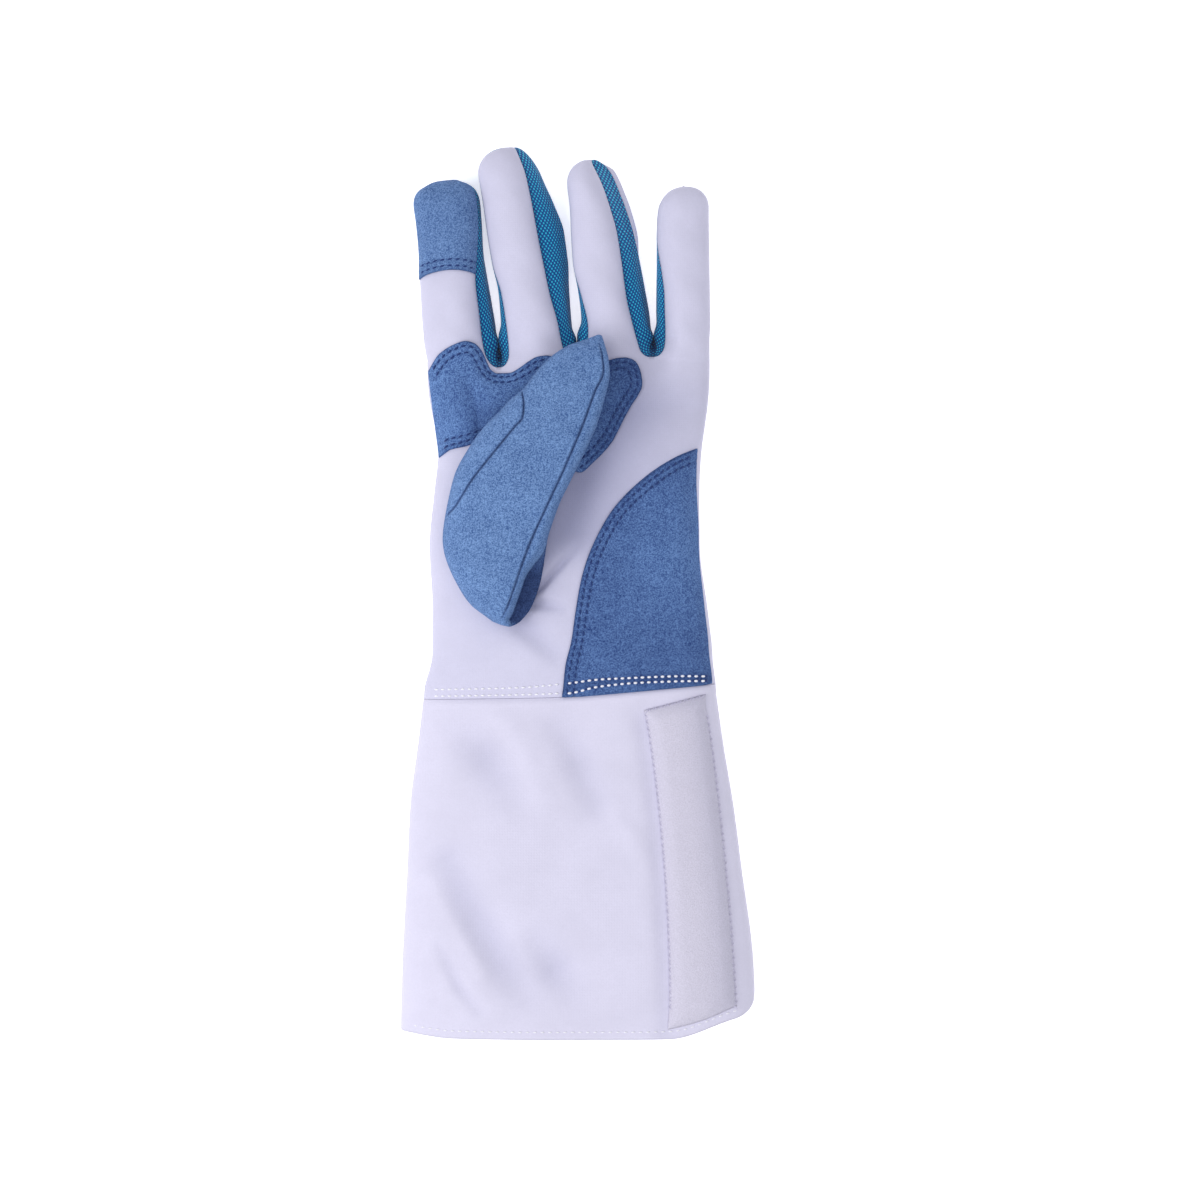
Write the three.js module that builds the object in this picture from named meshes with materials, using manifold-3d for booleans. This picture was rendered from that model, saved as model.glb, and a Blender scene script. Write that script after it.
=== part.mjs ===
// Fencing glove for the left hand, lying palm up on its back with the thumb folded across the palm.
// A sewn shell: palm and back panels with four finger fronts and backs, mesh gussets between the
// fingers, suede patches on the palm side, a suede thumb and a flared gauntlet cuff, all hollow.
// Millimetres, +Z up out of the palm, +Y towards the fingertips. While it is modelled, x = 0 is the
// middle of the row of knuckles and y = 0 is the seam where the hand meets the cuff.
import * as THREE from "three";
import Module from "manifold-3d";
import { mergeVertices } from "three/addons/utils/BufferGeometryUtils.js";

// Lengths along the glove
const knuckleHeight = 139;
const indexLength = 74;
const middleLength = 88;
const ringLength = 83;
const littleLength = 72;
const cuffLength = 140.5;
const cuffTuck = 8;
const cuffCornerRise = 8;
const cuffCornerRound = 8;

// Widths across the glove, lying flat
const indexWidth = 27;
const middleWidth = 30;
const ringWidth = 28;
const littleWidth = 22;
const crotchWidth = 8.5;
const palmWidth = 113;
const wristWidth = 121.8;
const cuffMouthWidth = 148;

// Heights above the surface that the glove lies on
const fingerThickness = 18;
const knuckleThickness = 22;
const palmThickness = 25;
const wristThickness = 23;
const cuffMouthThickness = 29;
const sideSeamHeight = 9;
const cuffSeamHeight = 11;
const fingertipSeamHeight = 7;
const gussetTopHeight = 13;
const gussetFootHeight = 4;

// Sideways lean of each finger's tip from its base
const indexLean = -3.9;
const middleLean = -10.1;
const ringLean = -9.1;
const littleLean = -2;

// Walls and gaps
const handWall = 1.8;
const gussetWall = 1.2;
const cuffWall = 2.2;
const suedeWall = 1.2;
const patchThickness = 1.1;
const tapeThickness = 1.6;
const seamGap = 0.4;
const thumbSeamGap = 0.7;
const seatGap = 0.35;
const patchGap = 0.6;
const tuckGap = 0.8;

// Thumb: its root and tip on the palm, and its size
const thumbRootX = -24.8;
const thumbRootY = 28;
const thumbLength = 126;
const thumbTilt = 17.7;
const thumbWidth = 43.9;
const thumbThickness = 15;
const thumbHoleLength = 27;
const thumbHoleWidth = 20;

// Suede patches and closure tape
const tipPatchLength = 41;
const palmPatchWidth = 88;
const palmPatchHeight = 60;
const heelPatchWidth = 63;
const heelPatchHeight = 102;
const tapeWidth = 24;
const tapeLength = 128.5;
const tapeTopInset = 29.1;
const tapeFootInset = 35.8;
const tapeTopLeftDrop = 9.5;
const tapeTopRightDrop = 2.2;
const tapeBow = 3.4;

const table = (columns, ...rows) =>
  rows.map((row) => Object.fromEntries(columns.split(" ").map((name, i) => [name, row[i]])));

// Edges of each finger's palm panel and back panel, in shares of its width from its leaning axis,
// against the share of its length from the knuckles
const fingers = [
  {
    name: "index",
    length: indexLength,
    width: indexWidth,
    lean: indexLean,
    tilt: 0.15,
    outer: -1,
    edges: table(
      "at palmLeft palmRight backLeft backRight",
      [0, -0.478, 0.478, -0.478, 0.6],
      [0.11, -0.495, 0.4, -0.495, 0.6],
      [0.28, -0.5, 0.363, -0.5, 0.555],
      [0.44, -0.5, 0.335, -0.5, 0.505],
      [0.6, -0.505, 0.37, -0.505, 0.462],
      [0.76, -0.52, 0.415, -0.52, 0.44],
      [1, -0.555, 0.407, -0.555, 0.42],
    ),
  },
  {
    name: "middle",
    length: middleLength,
    width: middleWidth,
    lean: middleLean,
    tilt: 0,
    outer: 0,
    edges: table(
      "at palmLeft palmRight backLeft backRight",
      [0, -0.393, 0.39, -0.47, 0.5],
      [0.1, -0.373, 0.353, -0.465, 0.51],
      [0.17, -0.377, 0.337, -0.45, 0.517],
      [0.31, -0.4, 0.27, -0.415, 0.537],
      [0.44, -0.475, 0.233, -0.397, 0.565],
      [0.58, -0.503, 0.197, -0.39, 0.56],
      [0.72, -0.513, 0.167, -0.4, 0.467],
      [0.86, -0.535, 0.137, -0.41, 0.353],
      [1, -0.55, 0.117, -0.417, 0.3],
    ),
  },
  {
    name: "ring",
    length: ringLength,
    width: ringWidth,
    lean: ringLean,
    tilt: 0,
    outer: 0,
    edges: table(
      "at palmLeft palmRight backLeft backRight",
      [0, -0.414, 0.411, -0.48, 0.56],
      [0.1, -0.354, 0.368, -0.45, 0.59],
      [0.18, -0.333, 0.332, -0.425, 0.6],
      [0.32, -0.386, 0.282, -0.386, 0.604],
      [0.47, -0.457, 0.271, -0.339, 0.621],
      [0.62, -0.439, 0.25, -0.321, 0.604],
      [0.76, -0.415, 0.182, -0.304, 0.52],
      [0.91, -0.421, 0.086, -0.307, 0.43],
      [1, -0.429, 0.036, -0.321, 0.393],
    ),
  },
  {
    name: "little",
    length: littleLength,
    width: littleWidth,
    lean: littleLean,
    tilt: 0.12,
    outer: 1,
    edges: table(
      "at palmLeft palmRight backLeft backRight",
      [0, -0.45, 0.45, -0.51, 0.45],
      [0.12, -0.382, 0.459, -0.514, 0.459],
      [0.2, -0.377, 0.482, -0.536, 0.482],
      [0.37, -0.377, 0.491, -0.518, 0.491],
      [0.54, -0.4, 0.495, -0.49, 0.495],
      [0.71, -0.43, 0.509, -0.46, 0.509],
      [1, -0.43, 0.523, -0.44, 0.523],
    ),
  },
];

// Sides of the hand in shares of the palm width, against the share of the knuckle height
const palmSides = table(
  "at left right",
  [0, -0.502, 0.532],
  [0.1, -0.502, 0.532],
  [0.25, -0.501, 0.514],
  [0.45, -0.512, 0.484],
  [0.6, -0.495, 0.483],
  [0.75, -0.478, 0.492],
  [0.9, -0.5, 0.508],
  [1, -0.52, 0.52],
);

// How far each side of the cuff has flared, against the share of its length from the wrist
const cuffFlare = table(
  "at left right",
  [0, 0, 0],
  [0.15, 0.26, 0.18],
  [0.33, 0.58, 0.43],
  [0.52, 0.71, 0.64],
  [0.79, 0.91, 0.93],
  [1, 1, 1],
);

// Height of the hand and cuff between their named thicknesses
const handHeights = table("at palm knuckle", [0, 0, 0], [0.35, 1, 0], [0.7, 1, 0], [1, 0, 1]);

// Valleys pressed into the palm and cuff: both ends in shares of the palm width and knuckle height
// (or of the cuff mouth and cuff length), then half-width and depth in shares of the palm thickness
const palmFolds = table(
  "x1 y1 x2 y2 reach depth",
  [-0.12, 0.24, 0.1, 0.42, 0.5, 0.1],
  [0.02, 0.62, -0.08, 0.34, 0.6, 0.1],
);
const cuffFolds = table(
  "x1 y1 x2 y2 reach depth",
  [-0.33, 0.5, -0.16, 0.84, 0.4, 0.12],
  [-0.12, 0.76, -0.01, 0.82, 0.36, 0.09],
  [-0.38, 0.72, -0.29, 0.9, 0.22, 0.06],
  [-0.3, 0.2, -0.2, 0.26, 0.5, 0.06],
  [0.06, 0.2, 0.12, 0.36, 0.4, 0.06],
);

// Thumb seen along the palm: its two outlines and the two seams of its front panel, in shares of its
// width from the line between root and tip, and its height, against the share of its length
const thumbOutline = table(
  "at left right seamLeft seamRight height",
  [0, -0.24, 0, -0.24, -0.1, 0.5],
  [0.02, -0.37, 0.08, -0.37, -0.07, 0.68],
  [0.065, -0.5, 0.14, -0.5, -0.053, 0.88],
  [0.125, -0.658, 0.165, -0.658, -0.046, 1],
  [0.187, -0.79, 0.165, -0.79, -0.044, 1.03],
  [0.26, -0.846, 0.13, -0.846, -0.034, 1.05],
  [0.33, -0.873, 0.105, -0.794, -0.017, 1.05],
  [0.416, -0.882, 0.111, -0.728, 0.015, 1.04],
  [0.524, -0.827, 0.152, -0.611, 0.055, 1.02],
  [0.66, -0.691, 0.207, -0.455, 0.094, 0.98],
  [0.71, -0.63, 0.223, -0.484, 0.104, 0.95],
  [0.756, -0.541, 0.222, -0.541, 0.108, 0.92],
  [0.812, -0.479, 0.216, -0.479, 0.113, 0.86],
  [0.871, -0.399, 0.203, -0.399, 0.137, 0.78],
  [0.932, -0.266, 0.139, -0.266, 0.075, 0.68],
  [0.972, -0.117, 0.066, -0.117, 0.014, 0.55],
  [1, -0.02, 0.01, -0.02, 0, 0.45],
);

// Palm patch: its upper and lower edges, from its left end at the side seam to its rounded right end
const palmPatchEdges = table(
  "at top bottom",
  [0, 0.78, 0.23],
  [0.06, 0.92, 0.28],
  [0.13, 0.995, 0.3],
  [0.19, 1, 0.33],
  [0.245, 0.93, 0.345],
  [0.3, 0.775, 0.345],
  [0.36, 0.74, 0.33],
  [0.43, 0.8, 0.285],
  [0.53, 0.93, 0.19],
  [0.6, 0.87, 0.15],
  [0.67, 0.77, 0.12],
  [0.73, 0.78, 0.17],
  [0.81, 0.86, 0.33],
  [0.9, 0.905, 0.52],
  [0.96, 0.88, 0.63],
  [1, 0.76, 0.74],
);

// Heel patch: its curved edge, as the share of its width from the side seam, against its height
const heelPatchEdge = table(
  "at reach",
  [0, 1],
  [0.1, 0.965],
  [0.22, 0.905],
  [0.41, 0.82],
  [0.6, 0.69],
  [0.75, 0.552],
  [0.87, 0.356],
  [0.96, 0.15],
  [1, 0.02],
);

const thumbRows = [0, 0.02, 0.06, 0.11, 0.16, 0.22, 0.29, 0.36, 0.44, 0.52, 0.6, 0.68, 0.75, 0.82, 0.89, 0.95, 1];
const palmRows = 14;
const palmColumns = 6;
const backColumns = 4;
const fingerRows = [0, 0.018, 0.05, 0.1, 0.22, 0.38, 0.55, 0.7, 0.82, 0.9, 0.955, 0.985, 1];

const tiny = 1e-6;
const clamp = (value, low, high) => Math.min(high, Math.max(low, value));
const mix = (a, b, share) => a + (b - a) * share;
const ease = (share) => {
  const t = clamp(share, 0, 1);
  return t * t * (3 - 2 * t);
};
const range = (count) => Array.from({ length: count + 1 }, (_, i) => i / count);
const at = (x, y, z) => new THREE.Vector3(x, y, z);

// One column of a table as a smooth curve that keeps between its rows
function curve(rows, name) {
  const steps = rows.slice(1).map((row, i) => (row[name] - rows[i][name]) / (row.at - rows[i].at));
  const slopes = rows.map((_, i) => {
    const before = steps[Math.max(0, i - 1)];
    const after = steps[Math.min(steps.length - 1, i)];
    return before * after <= 0 ? 0 : (2 * before * after) / (before + after);
  });
  return (place) => {
    const x = clamp(place, rows[0].at, rows[rows.length - 1].at);
    const i = Math.max(0, rows.findIndex((row) => row.at >= x) - 1);
    const length = rows[i + 1].at - rows[i].at;
    const t = (x - rows[i].at) / length;
    const bend = t * (1 - t) * length * (slopes[i] * (1 - t) - slopes[i + 1] * t);
    const straight = mix(rows[i][name], rows[i + 1][name], t * t * (3 - 2 * t));
    return straight + bend;
  };
}

const curves = (rows) =>
  Object.fromEntries(Object.keys(rows[0]).map((name) => [name, curve(rows, name)]));

// Quarter of a rounded square, from 1 at the middle to 0 at the edge, and its flat-based opposite
const dome = (s, power) => (1 - Math.min(1, Math.abs(s)) ** power) ** (1 / power);
const bowl = (s, flat, power) => 1 - dome(clamp((Math.abs(s) - flat) / (1 - flat), 0, 1), power);

// Depth of all folds at one place: each is a valley along a line, fading at its ends and sides
function foldDepth(folds, x, y, width, length) {
  let depth = 0;
  for (const fold of folds) {
    const [dx, dy] = [(fold.x2 - fold.x1) * width, (fold.y2 - fold.y1) * length];
    const [px, py] = [x - fold.x1 * width, y - fold.y1 * length];
    const along = clamp((px * dx + py * dy) / (dx * dx + dy * dy), 0, 1);
    const away = Math.hypot(px - along * dx, py - along * dy) / (fold.reach * palmThickness);
    depth += fold.depth * palmThickness * Math.exp(-away * away * 2);
  }
  return depth;
}

// Places of the fingers along the row of knuckles, from left to right
function placeFingers() {
  let x = 0;
  for (const finger of fingers) {
    finger.edge = curves(finger.edges);
    finger.baseX = x - finger.edge.palmLeft(0) * finger.width;
    x = finger.baseX + finger.edge.palmRight(0) * finger.width + crotchWidth;
  }
  const span = x - crotchWidth;
  fingers.forEach((finger) => (finger.baseX -= span / 2));
  return span / 2;
}
const knuckleHalf = placeFingers();

// x of an edge of a finger, rounded in at its tip and flared into the crotch at its base
function fingerEdge(finger, panel, side, t) {
  const axis = finger.baseX + finger.lean * t;
  const offset = finger.edge[panel + (side < 0 ? "Left" : "Right")](t) * finger.width;
  const tipRadius = 0.45 * finger.width;
  const tipShare = clamp((t * finger.length - finger.length + tipRadius) / tipRadius, 0, 1);
  const x = axis + offset * dome(tipShare, 2.2);
  if (side === finger.outer) return x;
  const [reach, flare] = panel === "palm" ? [0.55, 0.4] : [0.2, 0.1];
  const turn = clamp(1 - (t * finger.length) / (reach * crotchWidth), 0, 1);
  return x + side * flare * crotchWidth * (1 - Math.sqrt(1 - turn * turn));
}

// Sides of the hand above the wrist seam, and of the cuff below it
const side = curves(palmSides);
const flare = curves(cuffFlare);
const wristLeft = -0.494 * wristWidth;
const wristRight = 0.506 * wristWidth;
const mouthLeft = -0.472 * cuffMouthWidth;
const mouthRight = 0.528 * cuffMouthWidth;
function sides(y) {
  if (y < 0) {
    const share = -y / cuffLength;
    return {
      left: mix(wristLeft, mouthLeft, flare.left(share)),
      right: mix(wristRight, mouthRight, flare.right(share)),
    };
  }
  const share = y / knuckleHeight;
  const low = ease(1 - y / (0.12 * knuckleHeight));
  const high = ease((share - 0.7) / 0.3);
  const left = side.left(share) * palmWidth;
  const right = side.right(share) * palmWidth;
  return {
    left: mix(mix(left, wristLeft, low), -knuckleHalf, high),
    right: mix(mix(right, wristRight, low), knuckleHalf, high),
  };
}

const handHeight = curves(handHeights);
function thickness(y) {
  if (y < 0) return mix(wristThickness, cuffMouthThickness, ease(-y / cuffLength));
  const share = y / knuckleHeight;
  const low = mix(wristThickness, palmThickness, handHeight.palm(share));
  return mix(low, knuckleThickness, handHeight.knuckle(share));
}

const seamHeight = (y) => mix(sideSeamHeight, cuffSeamHeight, ease(-y / (0.4 * cuffLength)));
const sideRound = 2.6;
const footRound = 2.6;
const footFlat = 0.72;
const crownRound = 2.2;
const fingerFlat = 0.45;

// Height of the palm or cuff where no finger shapes it, at a place between its sides
function bodyHeight(panel, x, y) {
  const { left, right } = sides(y);
  const seam = seamHeight(y);
  const s = (2 * x - left - right) / (right - left);
  if (panel === "back") return seam * bowl(s, footFlat, footRound);
  return seam + (thickness(y) - seam) * dome(s, sideRound);
}
const bodyTop = (x, y) => bodyHeight("palm", x, y);

// How far a finger's tip has closed, in height
function tipClosing(finger, t) {
  const reach = 0.55 * finger.width;
  return dome(clamp((t * finger.length - finger.length + reach) / reach, 0, 1), 2.2);
}

// Heights of a finger's palm and back panels at s, from -1 at the left edge to 1 at the right edge
function fingerTop(finger, t, s) {
  const open = tipClosing(finger, t);
  const edge = (sign) => (sign === finger.outer ? sideSeamHeight : gussetTopHeight);
  const close = (height) => mix(fingertipSeamHeight, height, open);
  const [low, high] = [close(edge(-1)), close(edge(1))];
  const crown = close(fingerThickness) - (low + high) / 2;
  const bulge = Math.sign(s) === finger.outer ? dome(s, sideRound) : (1 - s * s) ** 0.8;
  return mix(low, high, (s + 1) / 2) + crown * bulge;
}
function fingerFoot(finger, t, s) {
  const open = tipClosing(finger, t);
  const onSide = Math.sign(s) === finger.outer;
  const edge = mix(fingertipSeamHeight, onSide ? sideSeamHeight : gussetFootHeight, open);
  const lift = fingertipSeamHeight * (1 - open);
  return lift + (edge - lift) * bowl(s, fingerFlat, onSide ? footRound : 1.3);
}

// Share of the body's own height in the blend with the scalloped fingers
const bodyShare = (y) => ease((knuckleHeight + 8 - y) / 36);

// Palm surface anywhere on the hand; near the knuckles it follows the fingers that start there
function palmTop(x, y) {
  const fold = foldDepth(palmFolds, x, y, palmWidth, knuckleHeight);
  const { left, right } = sides(Math.min(y, knuckleHeight));
  const atKnuckle = mix(-knuckleHalf, knuckleHalf, (x - left) / (right - left));
  let scallop = gussetTopHeight;
  let under = x;
  for (const each of fingers) {
    const t = clamp((y - knuckleHeight) / each.length, 0, 1);
    const place = t > 0 ? x : atKnuckle;
    const [from, to] = [fingerEdge(each, "palm", -1, t), fingerEdge(each, "palm", 1, t)];
    if (place < from - tiny || place > to + tiny) continue;
    const s = clamp((2 * place - from - to) / (to - from), -1, 1);
    scallop = fingerTop(each, t, s);
    if (t > 0) under = mix(fingerEdge(each, "palm", -1, 0), fingerEdge(each, "palm", 1, 0), (s + 1) / 2);
  }
  return mix(scallop, bodyTop(under, Math.min(y, knuckleHeight)), bodyShare(y)) - fold;
}

// Points shared by neighbouring pieces, and quads that say which piece they belong to
class Skin {
  constructor() {
    this.points = [];
    this.found = new Map();
    this.quads = [];
  }
  point(v) {
    const key = [v.x, v.y, v.z].map((n) => Math.round(n * 500)).join();
    if (!this.found.has(key)) this.found.set(key, this.points.push(v) - 1);
    return this.found.get(key);
  }
  grid(piece, rows, up) {
    for (let j = 0; j + 1 < rows.length; j++) {
      for (let i = 0; i + 1 < rows[j].length; i++) {
        const quad = [rows[j][i], rows[j][i + 1], rows[j + 1][i + 1], rows[j + 1][i]];
        const corners = quad.map((v) => this.point(v));
        this.quads.push({ piece, corners: up ? corners : corners.reverse() });
      }
    }
  }
  triangles(piece) {
    const triangles = [];
    for (const quad of this.quads) {
      if (piece && quad.piece !== piece) continue;
      const [a, b, c, d] = quad.corners;
      for (const t of [[a, b, c], [a, c, d]]) if (new Set(t).size === 3) triangles.push(t);
    }
    return triangles;
  }
  normals() {
    const sums = this.points.map(() => at(0, 0, 0));
    for (const t of this.triangles()) {
      const [a, b, c] = t.map((i) => this.points[i]);
      const normal = b.clone().sub(a).cross(c.clone().sub(a)).normalize();
      t.forEach((i, k) => {
        const [p, q, r] = [t[k], t[(k + 1) % 3], t[(k + 2) % 3]].map((n) => this.points[n]);
        sums[i].addScaledVector(normal, q.clone().sub(p).angleTo(r.clone().sub(p)));
      });
    }
    return sums.map((sum) => sum.normalize());
  }
  // One piece as a closed wall: the skin outside, the same skin moved in by the wall, and a rim.
  // Its sewn edges draw back by half the seam gap, so that neighbours don't touch.
  wall(piece, thick, gap = seamGap) {
    const normals = this.normals();
    const triangles = this.triangles(piece);
    const used = new Map();
    const edges = new Map();
    const centres = new Map();
    for (const t of triangles) {
      const centre = t.reduce((sum, i) => sum.add(this.points[i]), at(0, 0, 0)).divideScalar(3);
      t.forEach((i, k) => {
        edges.set([i, t[(k + 1) % 3]].join(), [i, t[(k + 1) % 3]]);
        if (!centres.has(i)) centres.set(i, at(0, 0, 0));
        centres.get(i).add(centre.clone().sub(this.points[i]).normalize());
      });
    }
    const rim = [...edges.values()].filter(([a, b]) => !edges.has([b, a].join()));
    const others = new Set(
      this.quads.filter((quad) => quad.piece !== piece).flatMap((quad) => quad.corners),
    );
    const sewn = new Set(rim.flat().filter((i) => others.has(i)));
    const outer = [];
    const inner = [];
    for (const i of new Set(triangles.flat())) {
      used.set(i, outer.length);
      const back = sewn.has(i) ? centres.get(i).normalize().multiplyScalar(gap / 2) : at(0, 0, 0);
      outer.push(this.points[i].clone().add(back));
      const deep = sewn.has(i) ? Math.min(thick, gussetWall) : thick;
      inner.push(outer[outer.length - 1].clone().addScaledVector(normals[i], -deep));
    }
    const n = outer.length;
    const index = triangles.flatMap((t) => {
      const [a, b, c] = t.map((i) => used.get(i));
      return [a, b, c, n + a, n + c, n + b];
    });
    for (const [p, q] of rim) {
      const [a, b] = [used.get(p), used.get(q)];
      index.push(a, n + a, b, b, n + a, n + b);
    }
    return solid([...outer, ...inner], index);
  }
}

function solid(points, index) {
  const geometry = new THREE.BufferGeometry().setFromPoints(points).setIndex(index);
  geometry.computeVertexNormals();
  return geometry;
}

// A sheet laid on a surface: rows of places, each with its own outward normal
function laid(rows, gap, thick) {
  const [nj, ni] = [rows.length, rows[0].length];
  const points = [];
  for (const lift of [gap + thick, gap]) {
    for (const { point, normal } of rows.flat()) points.push(point.clone().addScaledVector(normal, lift));
  }
  const n = nj * ni;
  const index = [];
  const edge = (a, b) => index.push(a, n + a, b, b, n + a, n + b);
  for (let j = 0; j < nj; j++) {
    for (let i = 0; i < ni; i++) {
      const a = j * ni + i;
      if (j + 1 < nj && i + 1 < ni) {
        const [b, c, d] = [a + 1, a + ni + 1, a + ni];
        index.push(a, b, c, a, c, d, n + a, n + c, n + b, n + a, n + d, n + c);
      }
      if (i + 1 < ni && j === 0) edge(a, a + 1);
      if (i + 1 < ni && j === nj - 1) edge(a + 1, a);
      if (j + 1 < nj && i === 0) edge(a + ni, a);
      if (j + 1 < nj && i === ni - 1) edge(a, a + ni);
    }
  }
  return solid(points, index);
}

// A place on a height field, with the normal of that field
function onField(height, x, y) {
  const step = 0.5;
  const slopeX = (height(x + step, y) - height(x - step, y)) / (2 * step);
  const slopeY = (height(x, y + step) - height(x, y - step)) / (2 * step);
  return { point: at(x, y, height(x, y)), normal: at(-slopeX, -slopeY, 1).normalize() };
}

// Columns across one finger, closer together towards its edges
const spread = (count) => range(count).map((u) => mix(2 * u - 1, -Math.cos(Math.PI * u), 0.5));
const wristLine = (x) => 0.055 * x - 0.9;

// Palm or back sheet of the hand: one grid up to the knuckles and one for each finger
function handSheet(skin, piece, panel, columns) {
  const isPalm = panel === "palm";
  const across = spread(columns);
  const crotchRise = isPalm ? 0 : 5;
  const marks = [];
  for (const finger of fingers) {
    const [from, to] = [fingerEdge(finger, panel, -1, 0), fingerEdge(finger, panel, 1, 0)];
    across.forEach((s) => marks.push(mix(from, to, (s + 1) / 2)));
  }
  const low = marks[0];
  const high = marks[marks.length - 1];
  const rise = (x) => crotchRise * dome((2 * x - low - high) / (high - low), 4);
  const height = (x, y) => {
    if (isPalm) return palmTop(x, y);
    const { left, right } = sides(y);
    const body = bodyHeight(panel, x, y);
    const place = mix(low, high, (x - left) / (right - left));
    let scallop = gussetFootHeight;
    for (const finger of fingers) {
      const [from, to] = [fingerEdge(finger, panel, -1, 0), fingerEdge(finger, panel, 1, 0)];
      if (place < from - tiny || place > to + tiny) continue;
      scallop = fingerFoot(finger, 0, clamp((2 * place - from - to) / (to - from), -1, 1));
    }
    return mix(scallop, body, bodyShare(y));
  };
  const body = range(palmRows).map((v) =>
    marks.map((mark) => {
      const y = mix(wristLine(mark), knuckleHeight + rise(mark), v);
      const { left, right } = sides(Math.min(y, knuckleHeight));
      const x = mix(left, right, (mark - low) / (high - low));
      return at(x, y, height(x, Math.min(y, knuckleHeight)));
    }),
  );
  skin.grid(piece, body, isPalm);
  const feet = body[body.length - 1];
  fingers.forEach((finger, n) => {
    const foot = feet.slice(n * across.length, (n + 1) * across.length);
    const flat = foot.map(({ x }) => bodyHeight(panel, x, knuckleHeight));
    const rows = fingerRows.map((t) =>
      across.map((s, i) => {
        if (t === 0) return foot[i];
        const [from, to] = [fingerEdge(finger, panel, -1, t), fingerEdge(finger, panel, 1, t)];
        const x = mix(from, to, (s + 1) / 2);
        const axis = finger.baseX + finger.lean * t;
        const reach = knuckleHeight + rise(marks[n * across.length + i]) * (1 - t) + finger.length * t;
        const y = reach + finger.tilt * (x - axis) * ease(t * 2 - 1);
        const z = isPalm ? fingerTop(finger, t, s) : fingerFoot(finger, t, s);
        return at(x, y, mix(z, flat[i], bodyShare(knuckleHeight + finger.length * t)));
      }),
    );
    skin.grid(piece, rows, isPalm);
    finger[panel + "Left"] = rows.map((row) => row[0]);
    finger[panel + "Right"] = rows.map((row) => row[row.length - 1]);
  });
}

// Mesh gusset between two fingers: down one finger's side, round the crotch and up the next
function gusset(skin, piece, left, right) {
  const columns = 2;
  const path = (panel) => [...left[panel + "Right"].slice().reverse(), ...right[panel + "Left"]];
  const [tops, feet] = [path("palm"), path("back")];
  const bulge = 1.2;
  const rows = tops.map((top, j) => {
    const foot = feet[j];
    const sign = j < left.palmRight.length ? 1 : -1;
    const swell = bulge * Math.min(1, top.distanceTo(foot) / 8);
    return range(columns).map((w) => {
      return top.clone().lerp(foot, w).add(at(sign * swell * Math.sin(Math.PI * w), 0, 0));
    });
  });
  skin.grid(piece, rows, false);
}

// The hand's shell, from its two sheets and three gussets
function handSkin() {
  const skin = new Skin();
  handSheet(skin, "palm_panel", "palm", palmColumns);
  handSheet(skin, "back_panel", "back", backColumns);
  for (let n = 0; n + 1 < fingers.length; n++) {
    gusset(skin, `gusset_${fingers[n].name}_${fingers[n + 1].name}`, fingers[n], fingers[n + 1]);
  }
  return skin;
}

// The cuff's shell: two sheets sewn at the sides, tucked inside the hand at the wrist
const tuckInset = handWall + tuckGap;
const tuckShare = (x, y) => ease((y - wristLine(x) + 2.2) / 2);
function cuffSection(x, y) {
  const { left, right } = sides(y);
  const inset = tuckInset * tuckShare(x, y);
  return {
    left: left + inset,
    right: right - inset,
    top: thickness(y) - inset,
    foot: inset,
    seam: seamHeight(y),
  };
}
function cuffTop(x, y) {
  const { left, right, top, seam } = cuffSection(x, y);
  const s = (2 * x - left - right) / (right - left);
  const fold = foldDepth(cuffFolds, x, -y, cuffMouthWidth, cuffLength);
  return seam + (top - seam) * dome(s, sideRound) - fold * dome(s, 2) * (1 - tuckShare(x, y));
}
function cuffSkin() {
  const skin = new Skin();
  const across = spread(16);
  const lap = (s) => wristLine((s * wristWidth) / 2);
  const tucked = [() => cuffTuck, (s) => lap(s) - 0.2, (s) => lap(s) - 2.2];
  const flared = range(9).slice(1).map((v) => (s) => {
    const corner = cuffCornerRise * (ease((s - 0.5) / 0.45) + 0.2 * ease((-s - 0.7) / 0.3));
    const round = cuffCornerRound * (1 - dome((s - 0.86) / 0.14, 2)) * (s > 0.86 ? 1 : 0);
    return mix(lap(s) - 2.2, -cuffLength + corner + round, v);
  });
  const sheet = (isFront) =>
    [...tucked, ...flared].map((row) =>
      across.map((s) => {
        const y = row(s);
        const wide = sides(y);
        const { left, right, foot, seam } = cuffSection(mix(wide.left, wide.right, (s + 1) / 2), y);
        const x = mix(left, right, (s + 1) / 2);
        const z = isFront ? cuffTop(x, y) : foot + (seam - foot) * bowl(s, footFlat, footRound);
        return at(x, y, Math.abs(s) === 1 ? seam : z);
      }),
    );
  skin.grid("cuff_front", sheet(true), false);
  skin.grid("cuff_back", sheet(false), true);
  return skin;
}

// The thumb's shell: a flattened tube closed at both ends, lying on the palm
const thumb = curves(thumbOutline);
const tilt = THREE.MathUtils.degToRad(thumbTilt);
function thumbPlace(share, offset) {
  const along = share * thumbLength;
  return {
    x: thumbRootX + Math.sin(tilt) * along + Math.cos(tilt) * offset,
    y: thumbRootY + Math.cos(tilt) * along - Math.sin(tilt) * offset,
  };
}
// What the thumb rests on: the palm, bridged straight over the hollows between the fingers
const thumbRest = (x, y) => {
  const overPatch = (patchThickness + patchGap) * ease((y - 0.5 * knuckleHeight) / 14);
  return bodyTop(x, Math.min(y, 0.8 * knuckleHeight)) + seatGap + overPatch;
};

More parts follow.
